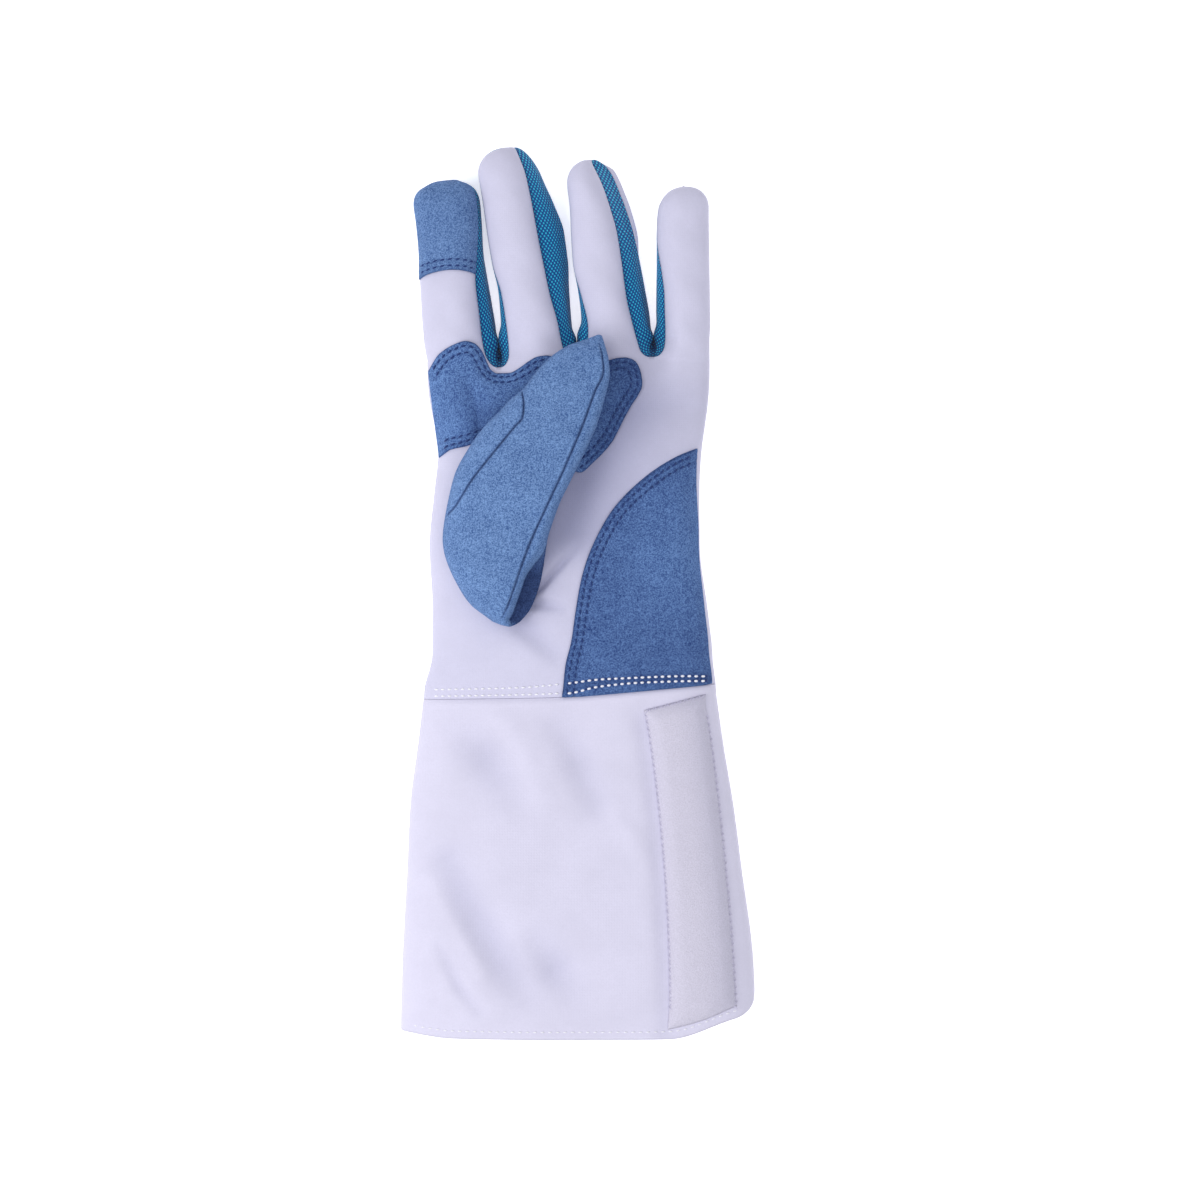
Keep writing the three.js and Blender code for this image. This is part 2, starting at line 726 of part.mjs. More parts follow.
function thumbSkin() {
  const skin = new Skin();
  const slope = { left: 0.22 * thumbWidth, right: 0.13 * thumbWidth };
  const waist = 0.45;
  const shoulder = 0.47;
  const rows = { front: [], back: [] };
  for (const share of thumbRows) {
    const closed = share === 0 || share === 1;
    const middle = ((thumb.left(share) + thumb.right(share)) / 2) * thumbWidth;
    const edge = (name) => (closed ? middle : thumb[name](share) * thumbWidth);
    const [left, right] = [edge("left"), edge("right")];
    const strip = Math.min(2.4, 0.3 * (right - left));
    const seamRight = Math.min(edge("seamRight"), right - strip);
    const seamLeft = Math.max(edge("seamLeft"), left + strip);
    const high = thumb.height(share) * thumbThickness;
    const height = (offset, under) => {
      const { x, y } = thumbPlace(share, offset);
      const [fromLeft, fromRight] = [offset - left, right - offset];
      const near = (reach, d) => dome(1 - clamp(d / reach, 0, 1), 2);
      const rise = Math.min(near(slope.left, fromLeft), near(slope.right, fromRight));
      const s = right > left ? (2 * offset - left - right) / (right - left) : 0;
      const top = waist + shoulder * rise + (1 - waist - shoulder) * (1 - s * s);
      const foot = waist * (1 - Math.min(near(8, fromLeft), near(5, fromRight)));
      const flat = right - left < 0.01;
      return at(x, y, thumbRest(x, y) + high * (flat ? waist : under ? foot : top));
    };
    const span = (a, b, count, under) => range(count).map((u) => height(mix(a, b, u), under));
    rows.front.push(span(seamLeft, seamRight, 8, false));
    const sideIn = span(seamRight, right, 2, false);
    const below = spread(8).map((s) => height(mix(right, left, (s + 1) / 2), true));
    const sideOut = span(left, seamLeft, 2, false);
    rows.back.push([...sideIn, ...below.slice(1), ...sideOut.slice(1)]);
  }
  skin.grid("thumb_front", rows.front, true);
  skin.grid("thumb_back", rows.back, true);
  return skin;
}

const wasm = await Module();
wasm.setup();

function toManifold(geometry) {
  const bare = geometry.clone();
  bare.deleteAttribute("normal");
  if (bare.hasAttribute("uv")) bare.deleteAttribute("uv");
  const merged = mergeVertices(bare, 1e-4);
  return new wasm.Manifold(
    new wasm.Mesh({
      numProp: 3,
      vertProperties: new Float32Array(merged.attributes.position.array),
      triVerts: new Uint32Array(merged.index.array),
    }),
  );
}

// Cuts the hole that joins the hollows of thumb and hand
function withThumbHole(geometry) {
  const { x, y } = thumbPlace(0.24, -0.36 * thumbWidth);
  const cutter = new THREE.CylinderGeometry(0.5, 0.5, palmThickness, 24);
  cutter.rotateX(Math.PI / 2);
  cutter.scale(thumbHoleWidth, thumbHoleLength, 1);
  cutter.rotateZ(-tilt);
  cutter.translate(x, y, palmThickness);
  const cut = toManifold(geometry).subtract(toManifold(cutter)).getMesh();
  const positions = new THREE.BufferAttribute(new Float32Array(cut.vertProperties), 3);
  const result = new THREE.BufferGeometry().setAttribute("position", positions);
  result.setIndex(new THREE.BufferAttribute(cut.triVerts, 1));
  result.computeVertexNormals();
  return result;
}

// Suede on the index fingertip, over the palm panel from the tip down
function tipPatch() {
  const finger = fingers[0];
  const from = 1 - tipPatchLength / finger.length;
  const rows = [0, 0.2, 0.4, 0.58, 0.74, 0.87, 0.95, 0.985].map((v) => {
    const t = mix(from, 1, v);
    return spread(8).map((each) => {
      const place = (share, s) => {
        const [left, right] = [fingerEdge(finger, "palm", -1, share), fingerEdge(finger, "palm", 1, share)];
        const x = mix(left, right, (s + 1) / 2);
        const axis = finger.baseX + finger.lean * share;
        const sway = finger.tilt * (x - axis) * ease(share * 2 - 1);
        return at(x, knuckleHeight + finger.length * share + sway, fingerTop(finger, share, s));
      };
      const s = each * 0.975;
      const bow = 0.03 * (1 - s * s) * (1 - v);
      const point = place(t + bow, s);
      const acrossStep = place(t + bow, s + 0.01).sub(place(t + bow, s - 0.01));
      const alongStep = place(t + bow + 0.003, s).sub(place(t + bow - 0.003, s));
      return { point, normal: acrossStep.cross(alongStep).normalize() };
    });
  });
  return laid(rows, patchGap, patchThickness);
}

// Suede across the base of the index, middle and ring fingers
const palmPatchTop = 144.5;
function palmPatch() {
  const edge = curves(palmPatchEdges);
  const columns = 24;
  const rows = range(7).map((v) =>
    range(columns).map((u) => {
      const across = mix(u, ease(u), 0.6);
      const share = mix(edge.bottom(across), edge.top(across), v);
      const y = palmPatchTop - palmPatchHeight * (1 - share);
      const start = sides(Math.min(y, knuckleHeight)).left + 1.1;
      return onField(palmTop, start + across * palmPatchWidth, y);
    }),
  );
  return laid(rows, patchGap, patchThickness);
}

// Suede over the heel of the hand, along the side seam down to the wrist
function heelPatch() {
  const edge = curve(heelPatchEdge, "reach");
  const rows = range(12).map((v) =>
    range(8).map((u) => {
      const share = 1 - (1 - v) ** 1.4;
      const far = edge(share) * heelPatchWidth;
      const guess = share * heelPatchHeight;
      const x = sides(guess).right - 1.2 - far * (1 - Math.sin((Math.PI / 2) * u));
      return onField(palmTop, x, Math.max(guess, wristLine(x) + 0.8));
    }),
  );
  return laid(rows, patchGap, patchThickness);
}

// Loop tape of the closure, sewn along the cuff's outer side
function closureTape() {
  const rows = range(8).map((v) =>
    range(6).map((u) => {
      const share = 1 - v;
      const bow = tapeBow * (4 * share * v) ** 0.7 * mix(1, 0.55, u);
      const inset = mix(tapeTopInset, tapeFootInset, share);
      const left = mix(wristRight, mouthRight, share) - inset + bow;
      const top = mix(-tapeTopLeftDrop, -tapeTopRightDrop, u);
      const foot = top - tapeLength + cuffCornerRise * 0.3 * (u - 0.3) * ease(u);
      const y = mix(foot, top, v);
      return onField(cuffTop, left + tapeWidth * u * mix(0.95, 1.12, share), Math.min(y, -3));
    }),
  );
  return laid(rows, patchGap, tapeThickness);
}

const whiteCloth = new THREE.MeshStandardMaterial({ color: 0xdedcec, roughness: 0.9, metalness: 0 });
const cuffCloth = new THREE.MeshStandardMaterial({ color: 0xe4e2f2, roughness: 0.92, metalness: 0 });
const blueSuede = new THREE.MeshStandardMaterial({ color: 0x5c83b8, roughness: 0.95, metalness: 0 });
const tealMesh = new THREE.MeshStandardMaterial({ color: 0x1a86a8, roughness: 0.8, metalness: 0 });
const loopPile = new THREE.MeshStandardMaterial({ color: 0xd6d4e2, roughness: 1, metalness: 0 });

function named(name, geometry, material) {
  const mesh = new THREE.Mesh(geometry, material);
  mesh.name = name;
  return mesh;
}

function hand() {
  const skin = handSkin();
  const group = new THREE.Group();
  group.add(named("palm_panel", withThumbHole(skin.wall("palm_panel", handWall)), whiteCloth));
  group.add(named("back_panel", skin.wall("back_panel", handWall), whiteCloth));
  for (const name of ["gusset_index_middle", "gusset_middle_ring", "gusset_ring_little"]) {
    group.add(named(name, skin.wall(name, gussetWall), tealMesh));
  }
  group.add(named("index_tip_patch", tipPatch(), blueSuede));
  group.add(named("palm_patch", palmPatch(), blueSuede));
  group.add(named("heel_patch", heelPatch(), blueSuede));
  return group;
}

function cuff() {
  const skin = cuffSkin();
  const group = new THREE.Group();
  group.add(named("cuff_front", skin.wall("cuff_front", cuffWall), cuffCloth));
  group.add(named("cuff_back", skin.wall("cuff_back", cuffWall), cuffCloth));
  group.add(named("closure_tape", closureTape(), loopPile));
  return group;
}

function thumbPieces() {
  const skin = thumbSkin();
  const group = new THREE.Group();
  group.add(named("thumb_front", skin.wall("thumb_front", suedeWall, thumbSeamGap), blueSuede));
  group.add(named("thumb_back", withThumbHole(skin.wall("thumb_back", suedeWall, thumbSeamGap)), blueSuede));
  return group;
}

// The origin is under the middle of the glove, on the surface that it lies on
const glove = new THREE.Group();
glove.name = "fencing_glove";
glove.add(hand(), cuff(), thumbPieces());
const box = new THREE.Box3().setFromObject(glove);
const middle = box.getCenter(new THREE.Vector3());
glove.position.set(-middle.x, -middle.y, -box.min.z);

export default glove;
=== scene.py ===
"""A fencing glove for the left hand, lying palm up: white cloth panels, blue suede patches, teal
mesh gussets, a suede thumb folded over the palm and a flared cuff. Shapes are in millimetres, with
x = 0 at the middle of the knuckles, y = 0 at the wrist seam and z = 0 where the glove lies."""

import math
from types import SimpleNamespace

import bpy
import numpy as np
from bpy.props import FloatProperty, FloatVectorProperty, PointerProperty
from bpy.types import Operator, Panel, PropertyGroup
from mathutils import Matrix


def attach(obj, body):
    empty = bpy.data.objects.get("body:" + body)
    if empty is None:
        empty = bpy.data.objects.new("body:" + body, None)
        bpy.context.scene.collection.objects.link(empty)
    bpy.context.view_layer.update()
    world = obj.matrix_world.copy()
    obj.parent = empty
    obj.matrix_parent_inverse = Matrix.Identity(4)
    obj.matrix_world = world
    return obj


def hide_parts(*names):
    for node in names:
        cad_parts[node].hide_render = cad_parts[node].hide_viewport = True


bl_info = {
    "name": "Fencing Glove",
    "version": (1, 0, 0),
    "blender": (4, 5, 0),
    "location": "3D View > Sidebar > Fencing Glove",
    "description": "Builds a left fencing glove with suede patches, mesh gussets and a cuff",
    "category": "Object",
}

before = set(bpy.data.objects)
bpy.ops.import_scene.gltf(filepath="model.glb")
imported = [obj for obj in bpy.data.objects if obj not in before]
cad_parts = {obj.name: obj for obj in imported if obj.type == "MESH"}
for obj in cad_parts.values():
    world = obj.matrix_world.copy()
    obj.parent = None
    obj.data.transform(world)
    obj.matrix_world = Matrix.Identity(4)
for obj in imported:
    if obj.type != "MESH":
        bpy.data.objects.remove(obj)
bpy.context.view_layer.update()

MM = 0.001
# Where the middle of the wrist seam lies in the shared frame
WRIST_MIDDLE = np.array([-3.976, -43.173, 0.0])
# Powers of a shade in red, green, blue and alpha, which leave shaded places a little bluer
SHADE_TINT = np.array([1.05, 1, 0.76, 0])
# Roundness of the sides, and the shares of the width that lie flat
SIDE_ROUND = 2.6
FOOT_FLAT = 0.72
FINGER_FLAT = 0.45
# Parts of a fingertip that round off and close, in shares of the finger's width
TIP_ROUND = 0.45
TIP_CLOSE = 0.55
# Reach and flare of the crotches, in shares of their width
CROTCH_FLARE = {"palm": (0.55, 0.4), "back": (0.2, 0.1)}
# Where the fingers' own shape takes over from the hand's, and how much nearer the tips the back's
# crotches are
FINGER_BLEND = 10
BODY_ABOVE = 9
BODY_BLEND = 26
BACK_RISE = 5
# Distance from the seams over which the folds fade out
FOLD_FADE = 9
# How far cloth rolls in at a seam, and the puckers that the stitches draw
SEAM_ROLL = 0.55
PUCKER = 0.09
PUCKER_TURN = 2.3
# Depth and pitch of the cloth's slow unevenness
PALM_SLACK = (0.35, 17)
CUFF_SLACK = (0.45, 24)
FINGER_SLACK = (0.4, 10)
THUMB_SLACK = (0.25, 13)
# Shares of the wrist and the mouth that lie left of the middle
WRIST_SPLIT = 0.494
MOUTH_SPLIT = 0.472
# The turned lower edge of the hand: how far it laps over, its dip and that dip's reach, its slant,
# its bow and how softly it bends, and the cuff's ridge below it
EDGE_LAP = 0.8
EDGE_BEND = 10
EDGE_DIP = 0.55
EDGE_REACH = 0.8
EDGE_SLANT = 0.0535
EDGE_BOW = 0.0385
LAP_RIDGE = 0.3
TUCK_RAMP = 0.12
TUCK_TOP = 8.0
# The cuff's hem: where its row of stitches lies and ends, and its rounded corners; and where the
# rows along the wrist end
HEM_ROW = 3.2
HEM_ROW_ENDS = (-0.93, 0.9)
WRIST_ROW_ENDS = (-56, 56.5)
LINE_POINTS = 400
HEM_SLOPE = 8
CORNER_RISE = 9
CORNER_START = 0.87
# The loop tape: where it starts, its bow, its distance from the side and its spread, wrist to mouth
TAPE_START = 6
TAPE_BOW = 3.4
TAPE_INSET = (30.6, 37.1)
TAPE_SPREAD = (1.08, 1.18)
TAPE_CROWN = 1.3
# How far the mesh swells between its seams, flat against them and in a crotch
MESH_SWELL = 1.2
MESH_FLAT = 1.05
CROTCH_SWELL = 1.7
# Distances from a crotch that belong to it, that are deep in it and that it shades, and their fades
CROTCH_ZONE = (15, 7)
CROTCH_DEEP = (10, 5)
CROTCH_NEAR = (42, 20)
# The mesh's shade where its two sides meet, on its floor, at its upper seam and towards its lower
# one, where a crotch adds to it
MESH_SHADE = SimpleNamespace(meet=0.8, floor=0.3, rim=0.55, under=0.2, under_near=0.35, least=0.1)
# Reach of the thumb's wide and close shadow on the palm, their depths low and high on the palm, and
# where high starts
SHADOW_WIDE = 29
SHADOW_CLOSE = 7
WIDE_DEPTH = (0.05, 0.4)
CLOSE_DEPTH = (0.14, 0.03)
SHADOW_HIGH = 47
# Shade for a millimetre of fold, in the palm and the cuff, and the deepest fold that counts
PALM_FOLD_SHADE = 0.06
CUFF_FOLD_SHADE = 0.045
DEEPEST_FOLD = 3
# The thumb's rounded left shoulder and right lip in shares of its width, the share of its height
# where its two panels meet, and its rise over the palm patch
THUMB_SHOULDER = 0.22
THUMB_LIP = 0.085
THUMB_WAIST = 0.45
THUMB_RISE = 1.7
# The thumb's flat top and its swell, and the lobe of its back, in shares of its height
THUMB_TOP = 0.92
THUMB_SWELL = 0.08
THUMB_LOBE = 0.12
# Depth of the thumb's two seams, and its shade along them, in the roll of its back and at its rim
THUMB_SEAM = 1.15
THUMB_SHADE = SimpleNamespace(line=0.62, hidden=0.78, rim=0.2, least=0.22)
# Gaps under patches and thumb, and how patches stand off from the edges of the hand
PATCH_GAP = 0.25
THUMB_GAP = 0.35
PATCH_ABOVE = 5.5
PATCH_INSET = 0.8
HEEL_INSET = 1.2
HEEL_ABOVE = 0.5


def ease(share):
    """0 to 1 with a level start and end."""
    t = np.clip(share, 0, 1)
    return t * t * (3 - 2 * t)


def mix(a, b, share):
    """The value that lies a share of the way from a to b."""
    return a + (b - a) * share


def dome(s, power):
    """1 at the middle, falling to 0 at the edges as a rounded square does."""
    return (1 - np.minimum(1, np.abs(s)) ** power) ** (1 / power)


def bell(distance, reach):
    """1 at no distance, falling smoothly to almost 0 at twice the reach."""
    return np.exp(-((distance / reach) ** 2))


def within(distance, reach, fade):
    """1 well within a reach, fading to 0 at it."""
    return ease((reach - distance) / fade)


def bowl(s, flat, power):
    """0 over a flat middle, rising to 1 at the edges."""
    return 1 - dome(np.clip((np.abs(s) - flat) / (1 - flat), 0, 1), power)


def between(left, right, s):
    """The value at a place from -1 to 1 between left and right."""
    return mix(left, right, (s + 1) / 2)


def place_across(x, left, right):
    """Place from -1 to 1 of x between left and right."""
    return np.clip((2 * x - left - right) / (right - left), -1, 1)


def unit(vectors):
    """The same directions with a length of 1."""
    return vectors / np.maximum(np.linalg.norm(vectors, axis=-1, keepdims=True), 1e-9)


def running(steps):
    """Length run at each point of a line, from the length of its steps."""
    return np.concatenate([[0], np.cumsum(steps)])


def spread(count):
    """Places from -1 to 1, closer together at both ends."""
    u = np.linspace(0, 1, count + 1)
    return mix(2 * u - 1, -np.cos(np.pi * u), 0.5)


def curves(columns, *rows):
    """A table as one smooth curve for each named column, against its first column."""
    values = np.array(rows, float).T
    at = values[0]

    def curve(column):
        steps = np.diff(column) / np.diff(at)
        before = np.concatenate([steps[:1], steps])
        after = np.concatenate([steps, steps[-1:]])
        total = np.where(before + after == 0, 1, before + after)
        slopes = np.where(before * after <= 0, 0, 2 * before * after / total)

        def value(place):
            x = np.clip(place, at[0], at[-1])
            i = np.clip(np.searchsorted(at, x) - 1, 0, len(at) - 2)
            length = at[i + 1] - at[i]
            t = (x - at[i]) / length
            bend = t * (1 - t) * length * (slopes[i] * (1 - t) - slopes[i + 1] * t)
            return mix(column[i], column[i + 1], t * t * (3 - 2 * t)) + bend

        return value

    return SimpleNamespace(
        **{name: curve(values[i]) for i, name in enumerate(columns.split()) if i}
    )


# Each finger's outer side, slant of its tip, lean in mm, and the edges of its palm and back panels
# in shares of its width from its axis
FINGERS = [
    ("index", -1, 0.09, -3.9, curves(
        "at palm_left palm_right back_left back_right",
        (0, -0.478, 0.478, -0.478, 0.6),
        (0.11, -0.513, 0.4, -0.513, 0.6),
        (0.28, -0.526, 0.363, -0.526, 0.555),
        (0.44, -0.526, 0.335, -0.526, 0.505),
        (0.6, -0.506, 0.37, -0.506, 0.462),
        (0.76, -0.52, 0.415, -0.52, 0.44),
        (1, -0.585, 0.407, -0.585, 0.42),
    )),
    ("middle", 0, 0, -10.1, curves(
        "at palm_left palm_right back_left back_right",
        (0, -0.393, 0.39, -0.47, 0.5),
        (0.1, -0.373, 0.353, -0.465, 0.51),
        (0.17, -0.377, 0.337, -0.45, 0.517),
        (0.31, -0.4, 0.27, -0.415, 0.537),
        (0.44, -0.475, 0.233, -0.397, 0.565),
        (0.58, -0.503, 0.197, -0.39, 0.56),
        (0.72, -0.513, 0.167, -0.4, 0.467),
        (0.86, -0.535, 0.125, -0.41, 0.34),
        (1, -0.55, 0.05, -0.417, 0.26),
    )),
    ("ring", 0, 0, -9.1, curves(
        "at palm_left palm_right back_left back_right",
        (0, -0.414, 0.411, -0.48, 0.56),
        (0.1, -0.354, 0.368, -0.45, 0.585),
        (0.18, -0.333, 0.332, -0.425, 0.591),
        (0.32, -0.386, 0.282, -0.386, 0.569),
        (0.47, -0.457, 0.271, -0.339, 0.537),
        (0.62, -0.439, 0.25, -0.321, 0.492),
        (0.76, -0.415, 0.182, -0.304, 0.41),
        (0.91, -0.421, 0.07, -0.307, 0.31),
        (1, -0.429, -0.04, -0.321, 0.3),
    )),
    ("little", 1, 0.12, -2, curves(
        "at palm_left palm_right back_left back_right",
        (0, -0.45, 0.45, -0.51, 0.45),
        (0.12, -0.382, 0.459, -0.514, 0.459),
        (0.2, -0.377, 0.482, -0.536, 0.482),
        (0.37, -0.377, 0.491, -0.518, 0.491),
        (0.5, -0.413, 0.495, -0.493, 0.495),
        (0.6, -0.458, 0.5, -0.49, 0.5),
        (0.7, -0.487, 0.505, -0.478, 0.505),
        (0.8, -0.475, 0.509, -0.435, 0.509),
        (0.9, -0.435, 0.516, -0.385, 0.516),
        (1, -0.385, 0.523, -0.33, 0.523),
    )),
]

PALM_SIDES = curves(
    "at left right",
    (0, -0.502, 0.532),
    (0.1, -0.502, 0.532),
    (0.25, -0.501, 0.514),
    (0.45, -0.512, 0.484),
    (0.6, -0.495, 0.483),
    (0.75, -0.478, 0.492),
    (0.9, -0.5, 0.508),
    (1, -0.52, 0.52),
)
CUFF_FLARE = curves(
    "at left right",
    (0, 0, 0),
    (0.15, 0.26, 0.18),
    (0.33, 0.58, 0.43),
    (0.52, 0.71, 0.64),
    (0.79, 0.91, 0.93),
    (1, 1, 1),
)
HAND_HEIGHTS = curves("at palm knuckle", (0, 0, 0), (0.35, 1, 0), (0.7, 1, 0), (1, 0, 1))
THUMB_ROLL = curves(
    "at edge",
    (0, -0.03),
    (0.054, 0.008),
    (0.113, 0.014),
    (0.163, 0.018),
    (0.225, 0.045),
    (0.27, 0.09),
    (0.32, 0.12),
)
THUMB_OUTLINE = curves(
    "at left right seam_left seam_right height",
    (0, -0.13, 0, -0.13, -0.1, 0.5),
    (0.01, -0.215, 0.045, -0.215, -0.085, 0.6),
    (0.0325, -0.39, 0.1, -0.39, -0.065, 0.76),
    (0.086, -0.582, 0.155, -0.582, -0.05, 0.93),
    (0.136, -0.714, 0.167, -0.714, -0.046, 1.01),
    (0.175, -0.79, 0.165, -0.79, -0.044, 1.03),
    (0.215, -0.838, 0.152, -0.838, -0.04, 1.04),
    (0.265, -0.868, 0.13, -0.866, -0.034, 1.05),
    (0.33, -0.89, 0.105, -0.794, -0.017, 1.05),
    (0.416, -0.906, 0.111, -0.728, 0.015, 1.04),
    (0.524, -0.85, 0.152, -0.611, 0.055, 1.02),
    (0.63, -0.738, 0.198, -0.49, 0.086, 0.99),
    (0.66, -0.691, 0.207, -0.453, 0.094, 0.98),
    (0.71, -0.63, 0.223, -0.484, 0.104, 0.95),
    (0.756, -0.541, 0.222, -0.541, 0.108, 0.92),
    (0.812, -0.479, 0.216, -0.479, 0.113, 0.86),
    (0.871, -0.399, 0.203, -0.399, 0.137, 0.78),
    (0.932, -0.266, 0.139, -0.266, 0.075, 0.68),
    (0.972, -0.117, 0.066, -0.117, 0.014, 0.55),
    (1, -0.02, 0.01, -0.02, 0, 0.45),
)
PALM_PATCH = curves(
    "at top bottom",
    (0, 0.83, 0.23),
    (0.06, 0.95, 0.28),
    (0.127, 1.01, 0.3),
    (0.174, 1.03, 0.32),
    (0.211, 1.015, 0.34),
    (0.244, 0.965, 0.345),
    (0.267, 0.9, 0.345),
    (0.291, 0.83, 0.345),
    (0.324, 0.803, 0.34),
    (0.384, 0.806, 0.32),
    (0.431, 0.84, 0.285),
    (0.478, 0.89, 0.23),
    (0.516, 0.92, 0.2),
    (0.558, 0.927, 0.17),
    (0.6, 0.9, 0.15),
    (0.67, 0.82, 0.12),
    (0.73, 0.79, 0.195),
    (0.806, 0.865, 0.315),
    (0.85, 0.893, 0.408),
    (0.885, 0.908, 0.482),
    (0.92, 0.913, 0.55),
    (0.947, 0.905, 0.602),
    (0.969, 0.885, 0.64),
    (0.985, 0.85, 0.675),
    (0.996, 0.8, 0.705),
    (1, 0.75, 0.74),
)
# Height of the two rows of stitches above the hand's lower edge
WRIST_ROWS = curves(
    "at lower upper",
    (-57, 1.3, 4),
    (-20, 1.5, 4.4),
    (1, 1.7, 5.8),
    (12, 3.4, 6.4),
    (23, 3.7, 6),
    (46, 2.6, 4.7),
    (57, 1.6, 3.4),
)
HEEL_PATCH = curves(
    "at reach",
    (0, 1),
    (0.1, 0.965),
    (0.22, 0.905),
    (0.41, 0.82),
    (0.6, 0.69),
    (0.75, 0.552),
    (0.87, 0.356),
    (0.96, 0.15),
    (1, 0.02),
)

# Valleys pressed into the cloth: a reach, then points with x, y and depth; ridges are below zero
PALM_FOLDS = [
    (2.2, (-16, 40.6, 3.0), (-9.5, 46.4, 2.9), (-2.9, 54, 1.9), (1.5, 58.5, 0.8), (7, 65, 0)),
    (4, (-18, 47, -0.5), (-7, 57, -0.5)),
    (11, (14, 104, 0.9), (7, 88, 1.6), (2, 70, 1.2)),
    (3.4, (-18, 38, 3.2), (-3, 36.5, 0.8)),
    (6.5, (-19, 28.5, 2.4), (-6, 17.5, 1.2)),
    (5, (-41, 131, 0.8), (-37.5, 121, 2.2), (-36, 108, 2.0)),
    (13, (26, 118, 1.1), (50, 124, 0.9)),
    (16, (40, 62, -1.2), (46, 84, -1.1)),
]
CUFF_FOLDS = [
    (11, (-54, -61, 0.4), (-50.5, -67, 2.2), (-43.5, -83, 3), (-35, -98, 3.2), (-26, -112, 2.8),
     (-17.5, -123, 1.1)),
    (11, (-11, -103, 1.5), (-5, -113, 3.2), (1, -121, 1.3)),
    (3.6, (-53.5, -103, 0.6), (-45, -120, 1.8), (-37, -130, 0.8)),
    (5, (-57, -76, -0.4), (-46, -96, -0.8), (-36, -113, -0.7)),
    (12, (-46, -15, 0.6), (-34, -26, 2.7), (-24, -41, 1)),
    (10, (-4, -12, 1), (3.5, -27, 2.4), (12, -44, 1.6)),
    (8, (-26, -9, -0.5), (-18, -23, -1.0), (-10, -42, -0.6)),
    (6, (17, -45, -0.4), (26, -57, -0.9), (33, -72, -0.3)),
]


def fold_depth(folds, x, y):
    """How far the cloth is pressed in at each place by a list of folds."""
    total = np.zeros(np.broadcast(x, y).shape)
    for reach, *points in folds:
        nearest = np.full(total.shape, 1e9)
        depth = np.zeros(total.shape)
        for (x1, y1, d1), (x2, y2, d2) in zip(points[:-1], points[1:]):
            dx, dy = x2 - x1, y2 - y1
            along = np.clip(((x - x1) * dx + (y - y1) * dy) / (dx * dx + dy * dy), 0, 1)
            away = np.hypot(x - x1 - along * dx, y - y1 - along * dy)
            depth = np.where(away < nearest, mix(d1, d2, along), depth)
            nearest = np.minimum(nearest, away)
        total = total + depth * np.exp(-2 * (nearest / reach) ** 2)
    return total


# Crotches that hang a little lower or higher than the knuckle line: x, y, rise
CROTCHES = [(-29.3, 139, -3.3, 9, 15), (35.4, 139, 1.1, 7, 12)]


def settled(points):
    """Points moved with the cloth where a crotch hangs lower or higher."""
    points = np.array(points, float)
    for x, y, rise, wide, long in CROTCHES:
        away = ((points[..., 0] - x) / wide) ** 2 + ((points[..., 1] - y) / long) ** 2
        points[..., 1] += rise * np.exp(-away)
    return points


def unsettled(x, y):
    """The y that a place had before its crotch moved it."""
    start = y
    for _ in range(4):
        moved = settled(np.stack(np.broadcast_arrays(x, start), -1))[..., 1]
        start = start - (moved - y)
    return start


def slack(x, y, depth, pitch):
    """Slow unevenness of soft cloth, up or down by its depth, without a repeat that shows."""
    a = np.sin(x / pitch * 2.1 + 1.3 * np.sin(y / pitch * 1.7 + 0.4))
    b = np.sin(y / pitch * 2.6 + 1.1 * np.sin(x / pitch * 1.9 + 2.0))
    return depth * (a + b + 0.6 * np.sin((x + y) / pitch * 3.7)) / 2.6


def length_property(name, value, description):
    """A length shown in scene units, given here in millimetres."""
    return FloatProperty(
        name=name, description=description, default=value * MM, min=0, unit="LENGTH", precision=4
    )


def colour_property(name, value, description):
    """A colour picker whose default is an sRGB hex value."""
    return FloatVectorProperty(
        name=name,
        description=description,
        default=linear(value),
        size=4,
        min=0,
        max=1,
        subtype="COLOR",
    )


def linear(value):
    """sRGB hex text as linear red, green, blue and alpha."""
    channels = [int(value[i : i + 2], 16) / 255 for i in (1, 3, 5)]
    return (*[c / 12.92 if c <= 0.04045 else ((c + 0.055) / 1.055) ** 2.4 for c in channels], 1.0)


